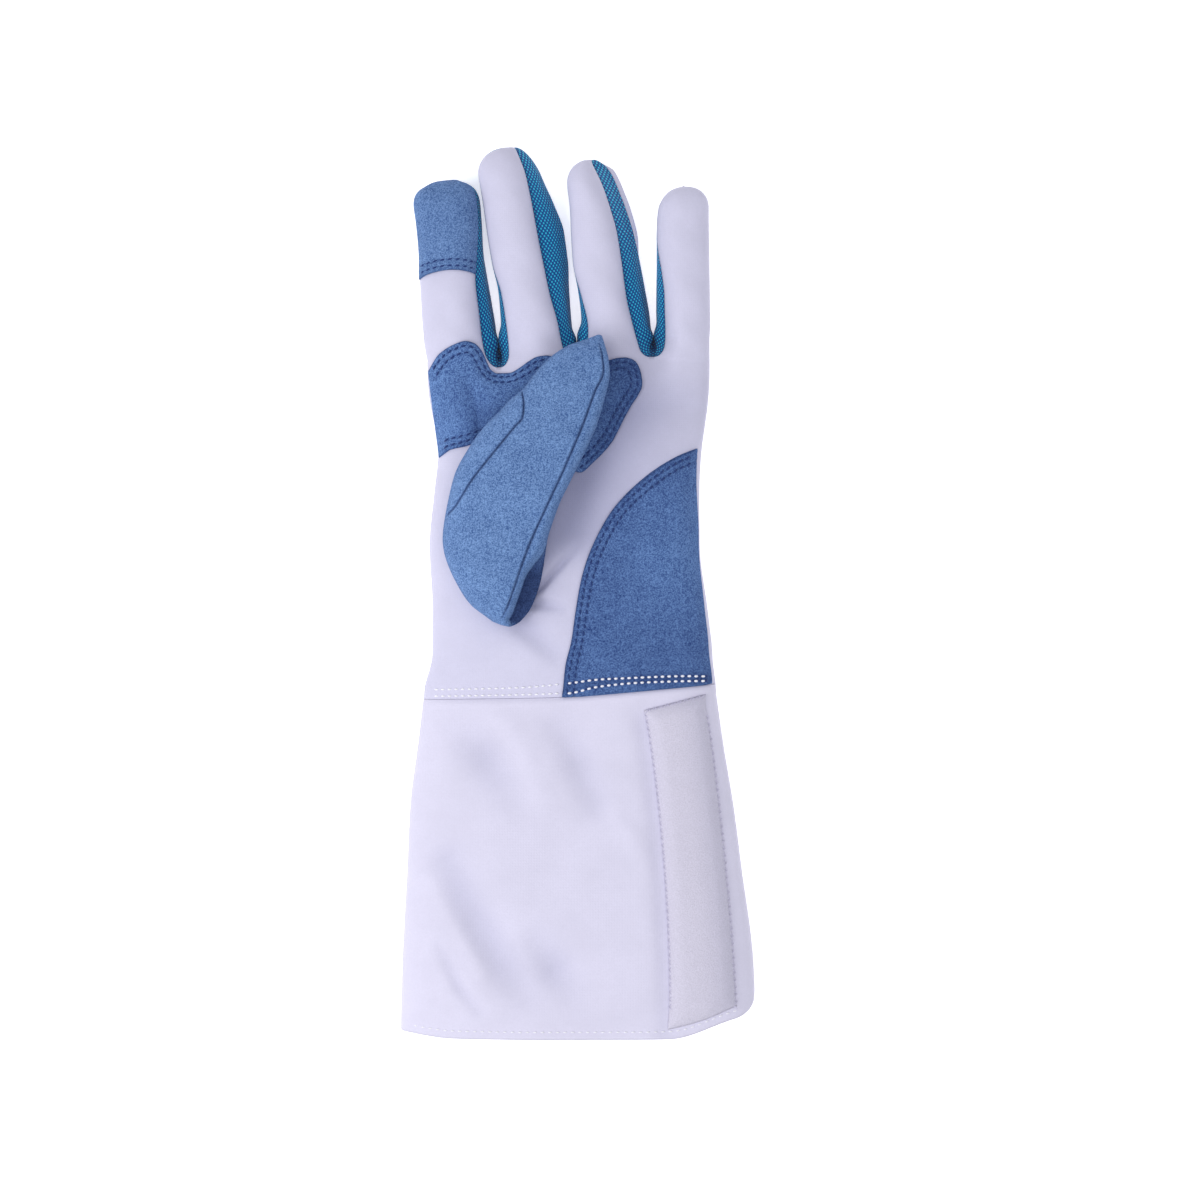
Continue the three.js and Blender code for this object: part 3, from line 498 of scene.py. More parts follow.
class GloveSizes(PropertyGroup):
    """Sizes of the glove's panels, as it lies flat."""

    knuckle_height: length_property("Knuckle height", 139, "Wrist seam to the foot of the fingers")
    index_length: length_property("Index length", 74, "Length of the index finger")
    middle_length: length_property("Middle length", 89.2, "Length of the middle finger")
    ring_length: length_property("Ring length", 84, "Length of the ring finger")
    little_length: length_property("Little length", 72.6, "Length of the little finger")
    index_width: length_property("Index width", 27, "Width of the index finger")
    middle_width: length_property("Middle width", 30, "Width of the middle finger")
    ring_width: length_property("Ring width", 28, "Width of the ring finger")
    little_width: length_property("Little width", 22, "Width of the little finger")
    crotch_width: length_property("Crotch width", 8.5, "Gap between two fingers at their foot")
    palm_width: length_property("Palm width", 113, "Width of the hand")
    wrist_width: length_property("Wrist width", 121.8, "Width of the wrist seam")
    finger_thickness: length_property("Finger thickness", 18, "Height of the fingers")
    knuckle_thickness: length_property("Knuckle thickness", 22, "Height at the knuckles")
    palm_thickness: length_property("Palm thickness", 25, "Height of the palm")
    wrist_thickness: length_property("Wrist thickness", 23, "Height at the wrist seam")
    side_seam: length_property("Side seam height", 9, "Height of the hand's side seams")
    cuff_seam: length_property("Cuff seam height", 11, "Height of the cuff's side seams")
    tip_seam: length_property("Tip seam height", 7, "Height of the seam round each fingertip")
    gusset_top: length_property("Gusset top", 13, "Height of the gussets' upper seams")
    gusset_foot: length_property("Gusset foot", 4, "Height of the gussets' lower seams")
    hand_wall: length_property("Hand wall", 1.8, "Thickness of the hand's padded cloth")
    gusset_wall: length_property("Gusset wall", 1.2, "Thickness of the mesh")
    cuff_wall: length_property("Cuff wall", 2.2, "Thickness of the cuff's padded cloth")
    suede_wall: length_property("Suede wall", 1.2, "Thickness of the thumb's suede")
    patch_thickness: length_property("Patch thickness", 1.3, "Thickness of the suede patches")
    tape_thickness: length_property("Tape thickness", 1.9, "Thickness of the loop tape")
    cuff_length: length_property("Cuff length", 140.5, "Wrist seam to the cuff's mouth")
    mouth_width: length_property("Mouth width", 148, "Width of the cuff's mouth")
    mouth_thickness: length_property("Mouth thickness", 29, "Height of the cuff's mouth")
    tuck: length_property("Tuck", 2.6, "How far the cuff steps in under the hand")
    thumb_length: length_property("Thumb length", 126, "Root to tip of the thumb")
    thumb_width: length_property("Thumb width", 43.9, "Width of the thumb")
    thumb_thickness: length_property("Thumb thickness", 15, "Height of the thumb")
    palm_patch_width: length_property("Palm patch width", 88, "Width of the palm patch")
    palm_patch_height: length_property("Palm patch height", 60, "Height of the palm patch")
    heel_patch_width: length_property("Heel patch width", 63, "Width of the heel patch")
    heel_patch_height: length_property("Heel patch height", 102, "Height of the heel patch")
    tip_patch_length: length_property("Tip patch length", 40.6, "Length of the index tip patch")
    tape_width: length_property("Tape width", 24, "Width of the loop tape")
    tape_length: length_property("Tape length", 128.5, "Length of the loop tape")
    stitch_pitch: length_property("Stitch pitch", 2.1, "Distance from one stitch to the next")
    thread_width: length_property("Thread width", 0.5, "Thickness of the sewing thread")


class GloveColours(PropertyGroup):
    """Colours of the cloth, suede, mesh and thread."""

    cloth: colour_property("Hand cloth", "#CAC8DE", "White cloth of the hand")
    cuff: colour_property("Cuff cloth", "#D2CFE3", "White cloth of the cuff")
    tape: colour_property("Loop tape", "#D6D2E5", "Soft pile of the closure tape")
    suede: colour_property("Suede", "#80A3D6", "Blue suede, where its nap catches light")
    suede_shade: colour_property("Suede shade", "#2F4F87", "Blue suede, deep in its nap")
    patch: colour_property("Patch suede", "#7094CB", "Blue suede of the patches")
    patch_shade: colour_property("Patch suede shade", "#223D79", "The patches, deep in their nap")
    mesh: colour_property("Mesh", "#035094", "Teal yarn of the gussets")
    mesh_light: colour_property("Mesh loops", "#3CCDEE", "Raised loops of the mesh")
    navy_thread: colour_property("Navy thread", "#1C3670", "Thread on the suede")
    white_thread: colour_property("White thread", "#E9E8F0", "Thread on the wrist and the hem")
    cloth_thread: colour_property("Cloth thread", "#BDB9D0", "Thread on the loop tape")


class GloveShape:
    """The glove's surfaces as heights over x and y, in millimetres."""

    def __init__(self, sizes):
        for name in sizes.bl_rna.properties.keys():
            if isinstance(getattr(sizes, name), float):
                setattr(self, name, getattr(sizes, name) / MM)
        self.fingers = []
        x = 0
        for name, outer, tilt, lean, edges in FINGERS:
            finger = SimpleNamespace(name=name, outer=outer, tilt=tilt, lean=lean, edges=edges)
            finger.length = getattr(self, name + "_length")
            finger.width = getattr(self, name + "_width")
            finger.base = x - edges.palm_left(0) * finger.width
            x = finger.base + edges.palm_right(0) * finger.width + self.crotch_width
            self.fingers.append(finger)
        self.knuckle_half = (x - self.crotch_width) / 2
        for finger in self.fingers:
            finger.base -= self.knuckle_half
        self.wrist_left = -WRIST_SPLIT * self.wrist_width
        self.wrist_right = (1 - WRIST_SPLIT) * self.wrist_width
        self.mouth_left = -MOUTH_SPLIT * self.mouth_width
        self.mouth_right = (1 - MOUTH_SPLIT) * self.mouth_width

    def finger_edge(self, finger, panel, side, t):
        """x of a finger panel's left or right edge, rounded at the tip, flared at the crotch."""
        axis = finger.base + finger.lean * t
        edge = getattr(finger.edges, panel + ("_left" if side < 0 else "_right"))
        radius = TIP_ROUND * finger.width
        tip = np.clip((t * finger.length - finger.length + radius) / radius, 0, 1)
        x = axis + edge(t) * finger.width * dome(tip, 3 if finger.name == "index" else 2.1)
        if side == finger.outer:
            return x
        reach, flare = CROTCH_FLARE[panel]
        turn = np.clip(1 - t * finger.length / (reach * self.crotch_width), 0, 1)
        return x + side * flare * self.crotch_width * (1 - np.sqrt(1 - turn * turn))

    def foot_edges(self, finger, panel):
        """Left and right edge of a finger panel at the knuckle line."""
        return [self.finger_edge(finger, panel, side, 0.0) for side in (-1, 1)]

    def finger_y(self, finger, x, t):
        """y on a finger, whose tip may slant across its width."""
        axis = finger.base + finger.lean * t
        return self.knuckle_height + finger.length * t + finger.tilt * (x - axis) * ease(t * 2 - 1)

    def sides(self, y):
        """Left and right outline of the hand above the wrist seam, and of the cuff below it."""
        below = np.clip(-y / self.cuff_length, 0, 1.05)
        cuff_left = mix(self.wrist_left, self.mouth_left, CUFF_FLARE.left(below))
        cuff_right = mix(self.wrist_right, self.mouth_right, CUFF_FLARE.right(below))
        share = y / self.knuckle_height
        low, high = ease(1 - share / 0.12), ease((share - 0.7) / 0.3)
        left = mix(PALM_SIDES.left(share) * self.palm_width, self.wrist_left, low)
        right = mix(PALM_SIDES.right(share) * self.palm_width, self.wrist_right, low)
        left = mix(left, -self.knuckle_half, high)
        right = mix(right, self.knuckle_half, high)
        return np.where(y < 0, cuff_left, left), np.where(y < 0, cuff_right, right)

    def thickness(self, y):
        """Height of the hand's or cuff's crown."""
        cuff = mix(self.wrist_thickness, self.mouth_thickness, ease(-y / self.cuff_length))
        share = y / self.knuckle_height
        hand = mix(self.wrist_thickness, self.palm_thickness, HAND_HEIGHTS.palm(share))
        hand = mix(hand, self.knuckle_thickness, HAND_HEIGHTS.knuckle(share))
        return np.where(y < 0, cuff, hand)

    def seam_height(self, y):
        """Height of the side seam."""
        return mix(self.side_seam, self.cuff_seam, ease(-y / (0.4 * self.cuff_length)))

    def body_height(self, panel, x, y):
        """Height of the palm or back where no finger shapes it."""
        left, right = self.sides(y)
        seam = self.seam_height(y)
        s = place_across(x, left, right)
        if panel == "back":
            return seam * bowl(s, FOOT_FLAT, SIDE_ROUND)
        return seam + (self.thickness(y) - seam) * dome(s, SIDE_ROUND)

    def tip_closing(self, finger, t):
        """How far a fingertip is still open in height."""
        reach = TIP_CLOSE * finger.width
        return dome(np.clip((t * finger.length - finger.length + reach) / reach, 0, 1), 2.2)

    def finger_top(self, finger, t, s):
        """Height of a finger's palm panel across its width."""
        opened = self.tip_closing(finger, t)
        low = self.side_seam if finger.outer < 0 else self.gusset_top
        high = self.side_seam if finger.outer > 0 else self.gusset_top
        low, high = mix(self.tip_seam, low, opened), mix(self.tip_seam, high, opened)
        crown = mix(self.tip_seam, self.finger_thickness, opened) - (low + high) / 2
        onside = (np.sign(s) == finger.outer) & (finger.outer != 0)
        power = mix(1.7, 0.8, ease(t * finger.length / 14))
        bulge = np.where(onside, dome(s, SIDE_ROUND), np.maximum(0, 1 - s * s) ** power)
        return between(low, high, s) + crown * bulge

    def finger_foot(self, finger, t, s):
        """Height of a finger's back panel across its width."""
        opened = self.tip_closing(finger, t)
        onside = (np.sign(s) == finger.outer) & (finger.outer != 0)
        edge = np.where(onside, self.side_seam, self.gusset_foot)
        edge = mix(self.tip_seam, edge, opened)
        lift = self.tip_seam * (1 - opened)
        rise = np.where(onside, bowl(s, FINGER_FLAT, 2.6), bowl(s, FINGER_FLAT, 1.3))
        return lift + (edge - lift) * rise

    def body_share(self, y):
        """Share of the body's own height in its blend with the fingers."""
        return ease((self.knuckle_height + BODY_ABOVE - y) / BODY_BLEND)

    def palm_top(self, x, y):
        """Height of the palm side anywhere on the hand."""
        x, y = np.broadcast_arrays(np.asarray(x, float), np.asarray(y, float))
        low_y = np.minimum(y, self.knuckle_height)
        left, right = self.sides(low_y)
        knuckle = mix(-self.knuckle_half, self.knuckle_half, (x - left) / (right - left))
        scallop = np.full(x.shape, self.gusset_top)
        under = x.copy()
        for finger in self.fingers:
            t = np.clip((y - self.knuckle_height) / finger.length, 0, 1)
            place = np.where(t > 0, x, knuckle)
            start = self.finger_edge(finger, "palm", -1, t)
            end = self.finger_edge(finger, "palm", 1, t)
            inside = (place >= start - 1e-6) & (place <= end + 1e-6)
            s = np.clip((2 * place - start - end) / np.maximum(end - start, 1e-3), -1, 1)
            foot = self.foot_edges(finger, "palm")
            low_s = place_across(place, *foot)
            blend = mix(low_s, s, ease(t * finger.length / FINGER_BLEND))
            scallop = np.where(inside, self.finger_top(finger, t, blend), scallop)
            under = np.where(inside & (t > 0), between(*foot, s), under)
        body = self.body_height("palm", under, low_y)
        fold = fold_depth(PALM_FOLDS, x, y) - slack(x, y, *PALM_SLACK)
        fade = ease((x - left) / FOLD_FADE) * ease((right - x) / FOLD_FADE)
        fade = fade * ease((y + 4) / 16) * ease((self.knuckle_height - y) / FOLD_FADE)
        hem = EDGE_DIP * bell(y - self.wrist_line(x), EDGE_REACH)
        return mix(scallop, body, self.body_share(y)) - fold * fade - hem

    def wrist_line(self, x):
        """y of the hand's lower edge, which laps over the cuff."""
        bow = EDGE_BOW * (np.sqrt(x * x + EDGE_BEND**2) - EDGE_BEND)
        return EDGE_SLANT * x - EDGE_LAP + bow

    def cuff_section(self, x, y):
        """Outline, crown, foot and seam of the cuff, stepped in under the hand's lower edge."""
        left, right = self.sides(y)
        inset = self.tuck * ease((y - self.wrist_line(x) + TUCK_RAMP) / TUCK_RAMP)
        return left + inset, right - inset, self.thickness(y) - inset, inset, self.seam_height(y)

    def cuff_top(self, x, y):
        """Height of the cuff's upper side, with its folds."""
        left, right, top, _, seam = self.cuff_section(x, y)
        s = place_across(x, left, right)
        fold = fold_depth(CUFF_FOLDS, x, y) - slack(x + 40, y, *CUFF_SLACK)
        beside = self.beside_tape(x, y, 4.2) * mix(0.3, 1, ease((y + self.cuff_length) / 34))
        fold = fold + 1.5 * beside
        fade = ease((-y - 2) / 12) * dome(s, 2)
        below = self.wrist_line(x) - y
        hem = EDGE_DIP * bell(below, EDGE_REACH) - LAP_RIDGE * bell(below - 2.4, 1.1)
        return seam + (top - seam) * dome(s, SIDE_ROUND) - fold * fade - hem * dome(s, 4)

    def beside_tape(self, x, y, reach):
        """How near a place is to the valley along the loop tape's left side."""
        return bell(x - self.tape_edges(y)[0] + 1.5, reach) * ease(-y / 14)

    def tape_edges(self, y):
        """Left and right edge of the loop tape, which bow out with the cuff."""
        share = np.clip((-y - TAPE_START) / self.tape_length, 0, 1)
        bow = TAPE_BOW * (4 * share * (1 - share)) ** 0.7
        right = mix(self.wrist_right, self.mouth_right, share)
        left = right - mix(*TAPE_INSET, share)
        return left + bow, left + 0.55 * bow + self.tape_width * mix(*TAPE_SPREAD, share)

    def placed(self, height, x, y, lift=0.0):
        """Points on a height field, lifted along its normals, and those normals."""
        step = 0.35
        slope_x = (height(x + step, y) - height(x - step, y)) / (2 * step)
        slope_y = (height(x, y + step) - height(x, y - step)) / (2 * step)
        normal = np.stack([-slope_x, -slope_y, np.ones_like(slope_x)], -1)
        normal = unit(normal)
        x, y = np.broadcast_arrays(x, y)
        point = np.stack([x, y, height(x, y)], -1)
        return point + normal * np.asarray(lift)[..., None], normal


def glove_shape(context):
    """The glove's surfaces for the sizes that the scene holds now."""
    return GloveShape(context.scene.glove_sizes)


def grid_faces(rows, columns, start, flip):
    """Quads of one grid of points."""
    i = np.arange(rows * columns).reshape(rows, columns) + start
    quads = np.stack([i[:-1, :-1], i[:-1, 1:], i[1:, 1:], i[1:, :-1]], -1).reshape(-1, 4)
    return quads[:, ::-1] if flip else quads


def link_mesh(name, points, faces, material):
    """A smooth mesh of points in millimetres, put in the scene."""
    mesh = bpy.data.meshes.new(name)
    mesh.from_pydata(((points + WRIST_MIDDLE) * MM).tolist(), [], faces)
    mesh.polygons.foreach_set("use_smooth", [True] * len(faces))
    mesh.materials.append(material)
    piece = bpy.data.objects.new(name, mesh)
    bpy.context.scene.collection.objects.link(piece)
    return piece


def make_piece(name, grids, material, wall, replaced, uvs=None, shades=None):
    """One sewn piece: its grids welded together, given a wall inwards, and fitted to the frame."""
    points, faces, texture, shade = [], [], [], []
    start = 0
    for k, (grid, flip) in enumerate(grids):
        rows, columns = grid.shape[:2]
        points.append(grid.reshape(-1, 3))
        faces.append(grid_faces(rows, columns, start, flip))
        texture.append((uvs[k] if uvs else grid[..., :2]).reshape(-1, 2))
        shade.append(np.broadcast_to(shades[k] if shades else 1.0, (rows, columns)).reshape(-1))
        start += rows * columns
    points, faces, texture, shade = map(np.concatenate, (points, faces, texture, shade))
    _, first, weld = np.unique(np.round(points, 3), axis=0, return_index=True, return_inverse=True)
    weld = weld.reshape(-1)
    points, texture, shade = settled(points[first]), texture[first], shade[first]
    polygons = []
    for face in weld[faces]:
        corners = [c for c, after in zip(face, np.roll(face, -1)) if c != after]
        if len(set(corners)) == len(corners) > 2:
            polygons.append([int(c) for c in corners])
    piece = link_mesh(name, points, polygons, material)
    mesh = piece.data
    layer = mesh.uv_layers.new(name="millimetres")
    corners = np.empty(len(mesh.loops), np.int32)
    mesh.loops.foreach_get("vertex_index", corners)
    layer.data.foreach_set("uv", (texture[corners] / 100).reshape(-1))
    layer = mesh.color_attributes.new("shade", "FLOAT_COLOR", "POINT")
    tinted = np.maximum(shade, 0)[:, None] ** SHADE_TINT
    layer.data.foreach_set("color", tinted.astype(np.float32).reshape(-1))
    mesh.validate()
    solidify = piece.modifiers.new("wall", "SOLIDIFY")
    solidify.thickness = wall * MM
    solidify.offset = -1
    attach(piece, "root")
    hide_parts(*replaced)


def seam_roll(distance, along):
    """How far cloth turns in towards a seam, with the small puckers that its stitches draw."""
    roll = SEAM_ROLL * bell(distance, 0.7)
    pucker = PUCKER * np.sin(along * PUCKER_TURN) * bell(distance, 1.6)
    return roll + pucker


def finger_rows():
    """Shares of a finger's length, closer together at the crotch and the tip."""
    low, high = 0.06, 0.86
    foot = low * np.linspace(0, 1, 14) ** 1.8
    tip = high + (1 - high) * np.sin(np.linspace(0, np.pi / 2, 22))
    return np.concatenate([foot, np.linspace(low, high, 62)[1:-1], tip])


def finger_points(shape, finger, panel, t, s, foot=None):
    """Points of one finger's palm or back panel at rows t and columns s."""
    t, s = t[:, None], s[None, :]
    left = shape.finger_edge(finger, panel, -1, t)
    right = shape.finger_edge(finger, panel, 1, t)
    x = between(left, right, s)
    rise = back_rise(shape, between(left[0], right[0], s)) if panel == "back" else 0
    y = shape.finger_y(finger, x, t) + rise * (1 - t)
    height = shape.finger_top if panel == "palm" else shape.finger_foot
    start, end = shape.foot_edges(finger, panel)
    flat = shape.body_height(panel, between(start, end, s), shape.knuckle_height)
    share = shape.body_share(shape.knuckle_height + finger.length * t)
    if panel == "palm":
        low_s = place_across(x, start, end)
        if finger.outer > 0:
            low_s = mix(low_s, s, ease((s - 0.2) / 0.6))
        z = height(finger, t, mix(low_s, s, ease(t * finger.length / FINGER_BLEND)))
    else:
        z = height(finger, t, s)
    z = mix(z, flat, share)
    if panel == "back" and finger.name == "ring":
        reach = 0.1 * (right - left) + mix(0.9, 2.1, ease((t - 0.5) / 0.3))
        x = x + reach * back_lip(t) * np.sin(np.pi * np.clip((s - 0.6) / 0.4, 0, 1))
    if panel == "palm":
        open_side = np.where(s < 0, finger.outer >= 0, finger.outer <= 0)
        distance = (1 - np.abs(s)) * (right - left) / 2
        z = z - slack(x, y, *FINGER_SLACK) * ease(t * 8) * ease(distance / 3)
        z = z - seam_roll(distance, y) * open_side * ease(t * 12)
    if foot is not None:
        x, y, z = (np.broadcast_to(v, (t.shape[0], s.shape[1])).copy() for v in (x, y, z))
        x[0], y[0], z[0] = foot.T
    return np.stack(np.broadcast_arrays(x, y, z), -1)


def back_lip(t):
    """How far the ring finger's back panel rolls out beyond its seam, in share of its most."""
    return ease((t - 0.36) / 0.26) * ease((1 - t) / 0.05)


def flat_mesh(name, t):
    """Where a finger's mesh is drawn flat against its seams."""
    return {"ring": back_lip(t), "little": ease((t - 0.42) / 0.26)}.get(name, 0 * t)


def back_rise(shape, x):
    """How much nearer the fingertips the back panel's crotches are than the palm's."""
    return BACK_RISE * dome(x / shape.knuckle_half, 4)


def hand_grids(shape, panel, columns, rows):
    """Grids of a hand panel: one up to the knuckles and one for each finger."""
    s = spread(columns)
    marks = []
    for finger in shape.fingers:
        marks.append(between(*shape.foot_edges(finger, panel), s))
    marks = np.concatenate(marks)
    half = marks[-1]
    rise = back_rise(shape, marks) if panel == "back" else np.zeros_like(marks)
    v = np.linspace(0, 1, rows + 1)[:, None]
    v = mix(v, v * v, 0.7)
    wrist = mix(shape.wrist_left, shape.wrist_right, (marks + half) / (2 * half))
    y = mix(shape.wrist_line(wrist), shape.knuckle_height + rise, v)
    low_y = np.minimum(y, shape.knuckle_height)
    left, right = shape.sides(low_y)
    x = mix(left, right, (marks + half) / (2 * half))
    if panel == "palm":
        z = shape.palm_top(x, y)
    else:
        scallop = np.full(marks.shape, shape.gusset_foot)
        for n, finger in enumerate(shape.fingers):
            scallop[n * len(s) : (n + 1) * len(s)] = shape.finger_foot(finger, 0.0, s)
        z = mix(scallop[None, :], shape.body_height(panel, x, low_y), shape.body_share(low_y))
    body = np.stack([x, y, z], -1)
    grids = [(body, panel == "back")]
    for n, finger in enumerate(shape.fingers):
        foot = body[-1, n * len(s) : (n + 1) * len(s)]
        points = finger_points(shape, finger, panel, finger_rows(), s, foot)
        grids.append((points, panel == "back"))
    return grids


def gusset_grid(left, right, tops, feet):
    """A mesh strip down one finger, round the crotch and up the next: points, UVs and shade."""

    def path(grids):
        return np.concatenate([grids[left][-3::-1, -1], grids[right][:-2, 0]])

    top, foot = path(tops), path(feet)
    half = len(top) // 2
    w = np.linspace(0, 1, 19)[None, :]
    height = np.linalg.norm(top - foot, axis=-1)
    middle = (top + foot) / 2
    along = running(np.linalg.norm(np.diff(middle, axis=0), axis=-1))
    from_crotch = np.abs(along - along[half])
    crotch = within(from_crotch, *CROTCH_ZONE)
    run = np.gradient(middle, axis=0)
    inward = unit(np.stack([-run[:, 1], run[:, 0]], -1))
    t = finger_rows()
    flat = [flat_mesh(FINGERS[n][0], t) for n in (left, right)]
    flat = np.concatenate([flat[0][-3::-1], flat[1][:-2]])
    swell = (MESH_SWELL - MESH_FLAT * flat + CROTCH_SWELL * crotch) * np.minimum(1, height / 8)
    points = mix(top[:, None], foot[:, None], w[..., None])
    bulge = np.sin(np.pi * w ** mix(1.0, 1.5, crotch[:, None])) * swell[:, None]
    points[..., :2] += inward[:, None] * bulge[..., None]
    opposite = points[::-1]
    centre = (points[..., 0] + opposite[..., 0]) / 2
    first = np.arange(len(top))[:, None] < half
    apart = 0.12
    close = np.where(first, centre - apart, centre + apart)
    points[..., 0] = np.where(first, np.minimum(points[..., 0], close), points[..., 0])
    points[..., 0] = np.where(first, points[..., 0], np.maximum(points[..., 0], close))
    seen = np.maximum(np.linalg.norm((top - foot)[:, :2], axis=-1), 2.5)
    across = (w - 0.5) * mix(height, np.minimum(height, seen), flat)[:, None]
    uv = np.stack([np.broadcast_to(along[:, None], across.shape), across], -1)
    gap = np.abs(points[..., 0] - centre)
    deep = within(from_crotch, *CROTCH_DEEP)[:, None]
    meeting = MESH_SHADE.meet * bell(gap, 1.3) * deep
    floor = MESH_SHADE.floor * ease(w / 0.5) * crotch[:, None]
    rim = MESH_SHADE.rim * bell(w, 0.085)
    near = within(from_crotch, *CROTCH_NEAR)[:, None]
    under = (MESH_SHADE.under + MESH_SHADE.under_near * near) * ease((w - 0.45) / 0.3)
    return points, uv, np.maximum(1 - meeting - floor, MESH_SHADE.least) * (1 - rim - under)


# The thumb's root, in mm, and the turn of its line from root to tip
THUMB_ROOT = (-24.8, 28)
THUMB_SIN, THUMB_COS = math.sin(math.radians(17.7)), math.cos(math.radians(17.7))


def thumb_place(shape, share, offset):
    """x and y on the thumb, from its share of length and its offset from the root to tip line."""
    along = share * shape.thumb_length
    return (
        THUMB_ROOT[0] + THUMB_SIN * along + THUMB_COS * offset,
        THUMB_ROOT[1] + THUMB_COS * along - THUMB_SIN * offset,
    )


def beside_thumb(shape, x, y):
    """How far places lie past the thumb's left and right outline, and their share of its length."""
    dx, dy = x - THUMB_ROOT[0], y - THUMB_ROOT[1]
    offset = THUMB_COS * dx - THUMB_SIN * dy
    share = (THUMB_SIN * dx + THUMB_COS * dy) / shape.thumb_length
    held = np.clip(share, 0, 1)
    left = THUMB_OUTLINE.left(held) * shape.thumb_width - offset
    right = offset - THUMB_OUTLINE.right(held) * shape.thumb_width
    return np.maximum(left, 0), np.maximum(right, 0), share, offset


def thumb_shadow(shape, x, y):
    """Shade that lies on the palm beside the thumb, and in the palm's folds."""
    _, away, share, offset = beside_thumb(shape, x, y)
    side = ease((offset + 18) / 18) * ease((share + 0.1) / 0.2) * ease((1.08 - share) / 0.3)
    high = ease((y - SHADOW_HIGH) / 20)
    wide = mix(*WIDE_DEPTH, high) * bell(away, SHADOW_WIDE)
    near = mix(*CLOSE_DEPTH, high) * bell(away, SHADOW_CLOSE)
    folds = PALM_FOLD_SHADE * np.clip(fold_depth(PALM_FOLDS, x, y), 0, DEEPEST_FOLD)
    return 1 - (wide + near) * side - folds


def thumb_grids(shape):
    """The thumb's front panel, its back panel wrapped from seam to seam, and their shades."""
    u = np.linspace(0, 1, 221)
    share = mix(u, (1 - np.cos(np.pi * u)) / 2, 0.5)
    closed = (share == 0) | (share == 1)
    width = shape.thumb_width
    outline = {
        name: getattr(THUMB_OUTLINE, name)(share) * width
        for name in ("left", "right", "seam_left", "seam_right")
    }
    middle = (outline["left"] + outline["right"]) / 2
    left, right, seam_left, seam_right = (
        np.where(closed, middle, outline[name]) for name in outline
    )
    strip = np.minimum(1.0, 0.25 * (right - left))
    seam_right = np.minimum(seam_right, right - strip)
    seam_left = np.maximum(seam_left, left + strip)
    high = THUMB_OUTLINE.height(share) * shape.thumb_thickness
    roll = np.clip(THUMB_ROLL.edge(share) * width, seam_right + strip, right)
    sunk = (ease((0.37 - share) / 0.2) * ease(share / 0.03))[:, None]

    def place(offset, under):
        x, y = thumb_place(shape, share[:, None], offset)
        from_left, from_right = offset - left[:, None], right[:, None] - offset
        to_roll = mix(from_right, roll[:, None] - offset, sunk)

        def near(reach, distance):
            return dome(1 - np.clip(distance / reach, 0, 1), 2)

        rise = np.minimum(near(THUMB_SHOULDER * width, from_left), near(THUMB_LIP * width, to_roll))
        span = np.maximum(right - left, 1e-3)[:, None]
        s = np.clip((2 * offset - (left + right)[:, None]) / span, -1, 1)
        over_patch = THUMB_RISE * ease((y - 0.5 * shape.knuckle_height) / 14)
        low_y = np.minimum(y, 0.8 * shape.knuckle_height)
        rest = shape.body_height("palm", x, low_y) + THUMB_GAP + over_patch
        waist = THUMB_WAIST - 0.22 * sunk * ease((s - 0.1) / 0.5)
        shade = np.ones(np.broadcast(x, y).shape)
        if under:
            tuck = np.minimum(near(8, from_left), near(5, from_right))
            z = rest + high[:, None] * waist * (1 - tuck)
        else:
            top = waist + (THUMB_TOP - waist) * rise + THUMB_SWELL * (1 - s * s)
            lobe = np.clip(-to_roll / np.maximum(right - roll, 1e-3)[:, None], 0, 1)
            low = waist + THUMB_LOBE * (1 - lobe * lobe)
            hidden = sunk * ease(0.5 - to_roll / 0.5)
            z = rest + high[:, None] * mix(top, low, hidden)
            on_left = np.abs(offset - seam_left[:, None])
            on_right = np.abs(offset - seam_right[:, None])
            along = share[:, None] * shape.thumb_length
            fade = ease(share * 14) * ease((1 - share) * 14)
            open_left = ease((seam_left - left - strip) / 0.5)[:, None]
            groove, line = (
                bell(on_right, reach) + bell(on_left, reach) * open_left for reach in (0.5, 0.42)
            )
            z = z - THUMB_SEAM * groove * fade[:, None]
            z = z - slack(x, along, *THUMB_SLACK) * fade[:, None]
            rim = bell(from_left, 1.1) + bell(from_right, 0.9)
            shade = shade - THUMB_SHADE.line * line * fade[:, None]
            shade = shade - THUMB_SHADE.hidden * hidden - THUMB_SHADE.rim * rim
        z = np.where(closed[:, None], rest + high[:, None] * THUMB_WAIST, z)
        return np.stack(np.broadcast_arrays(x, y, z), -1), np.clip(shade, THUMB_SHADE.least, 1)

    def across(start, end, count):
        w = np.linspace(0, 1, count + 1)[None, :]
        w = mix(w, (1 - np.cos(np.pi * w)) / 2, 0.6)
        return mix(start[:, None], end[:, None], w)

    front = place(across(seam_left, seam_right, 96), False)
    strips = (
        place(across(seam_right, right, 40), False),
        place(across(right, left, 24)[:, 1:], True),
        place(across(left, seam_left, 28)[:, 1:], False),
    )
    back = [np.concatenate(parts, axis=1) for parts in zip(*strips)]
    return front, back


def edge_fall(distance, depth=0.45, reach=0.55):
    """How far a cut edge is worn round below a patch's face."""
    return depth * bell(distance, reach)


def stitch_groove(distance, rows):
    """How far rows of stitches draw a patch down, at each distance from its edge."""
    return sum(0.32 * bell(distance - row, 0.6) for row in rows)


# Distances of the two rows of stitches from a patch's edge
PATCH_ROWS = (1.9, 4.5)


def patch_shade(distance, rows):
    """Painted shade on the suede at its pressed cut edge and in the rows that the stitches draw
    down.
    """
    dark = 0.5 * bell(distance, 0.6)
    return 1 - dark - sum(0.2 * bell(distance - row, 0.7) for row in rows)


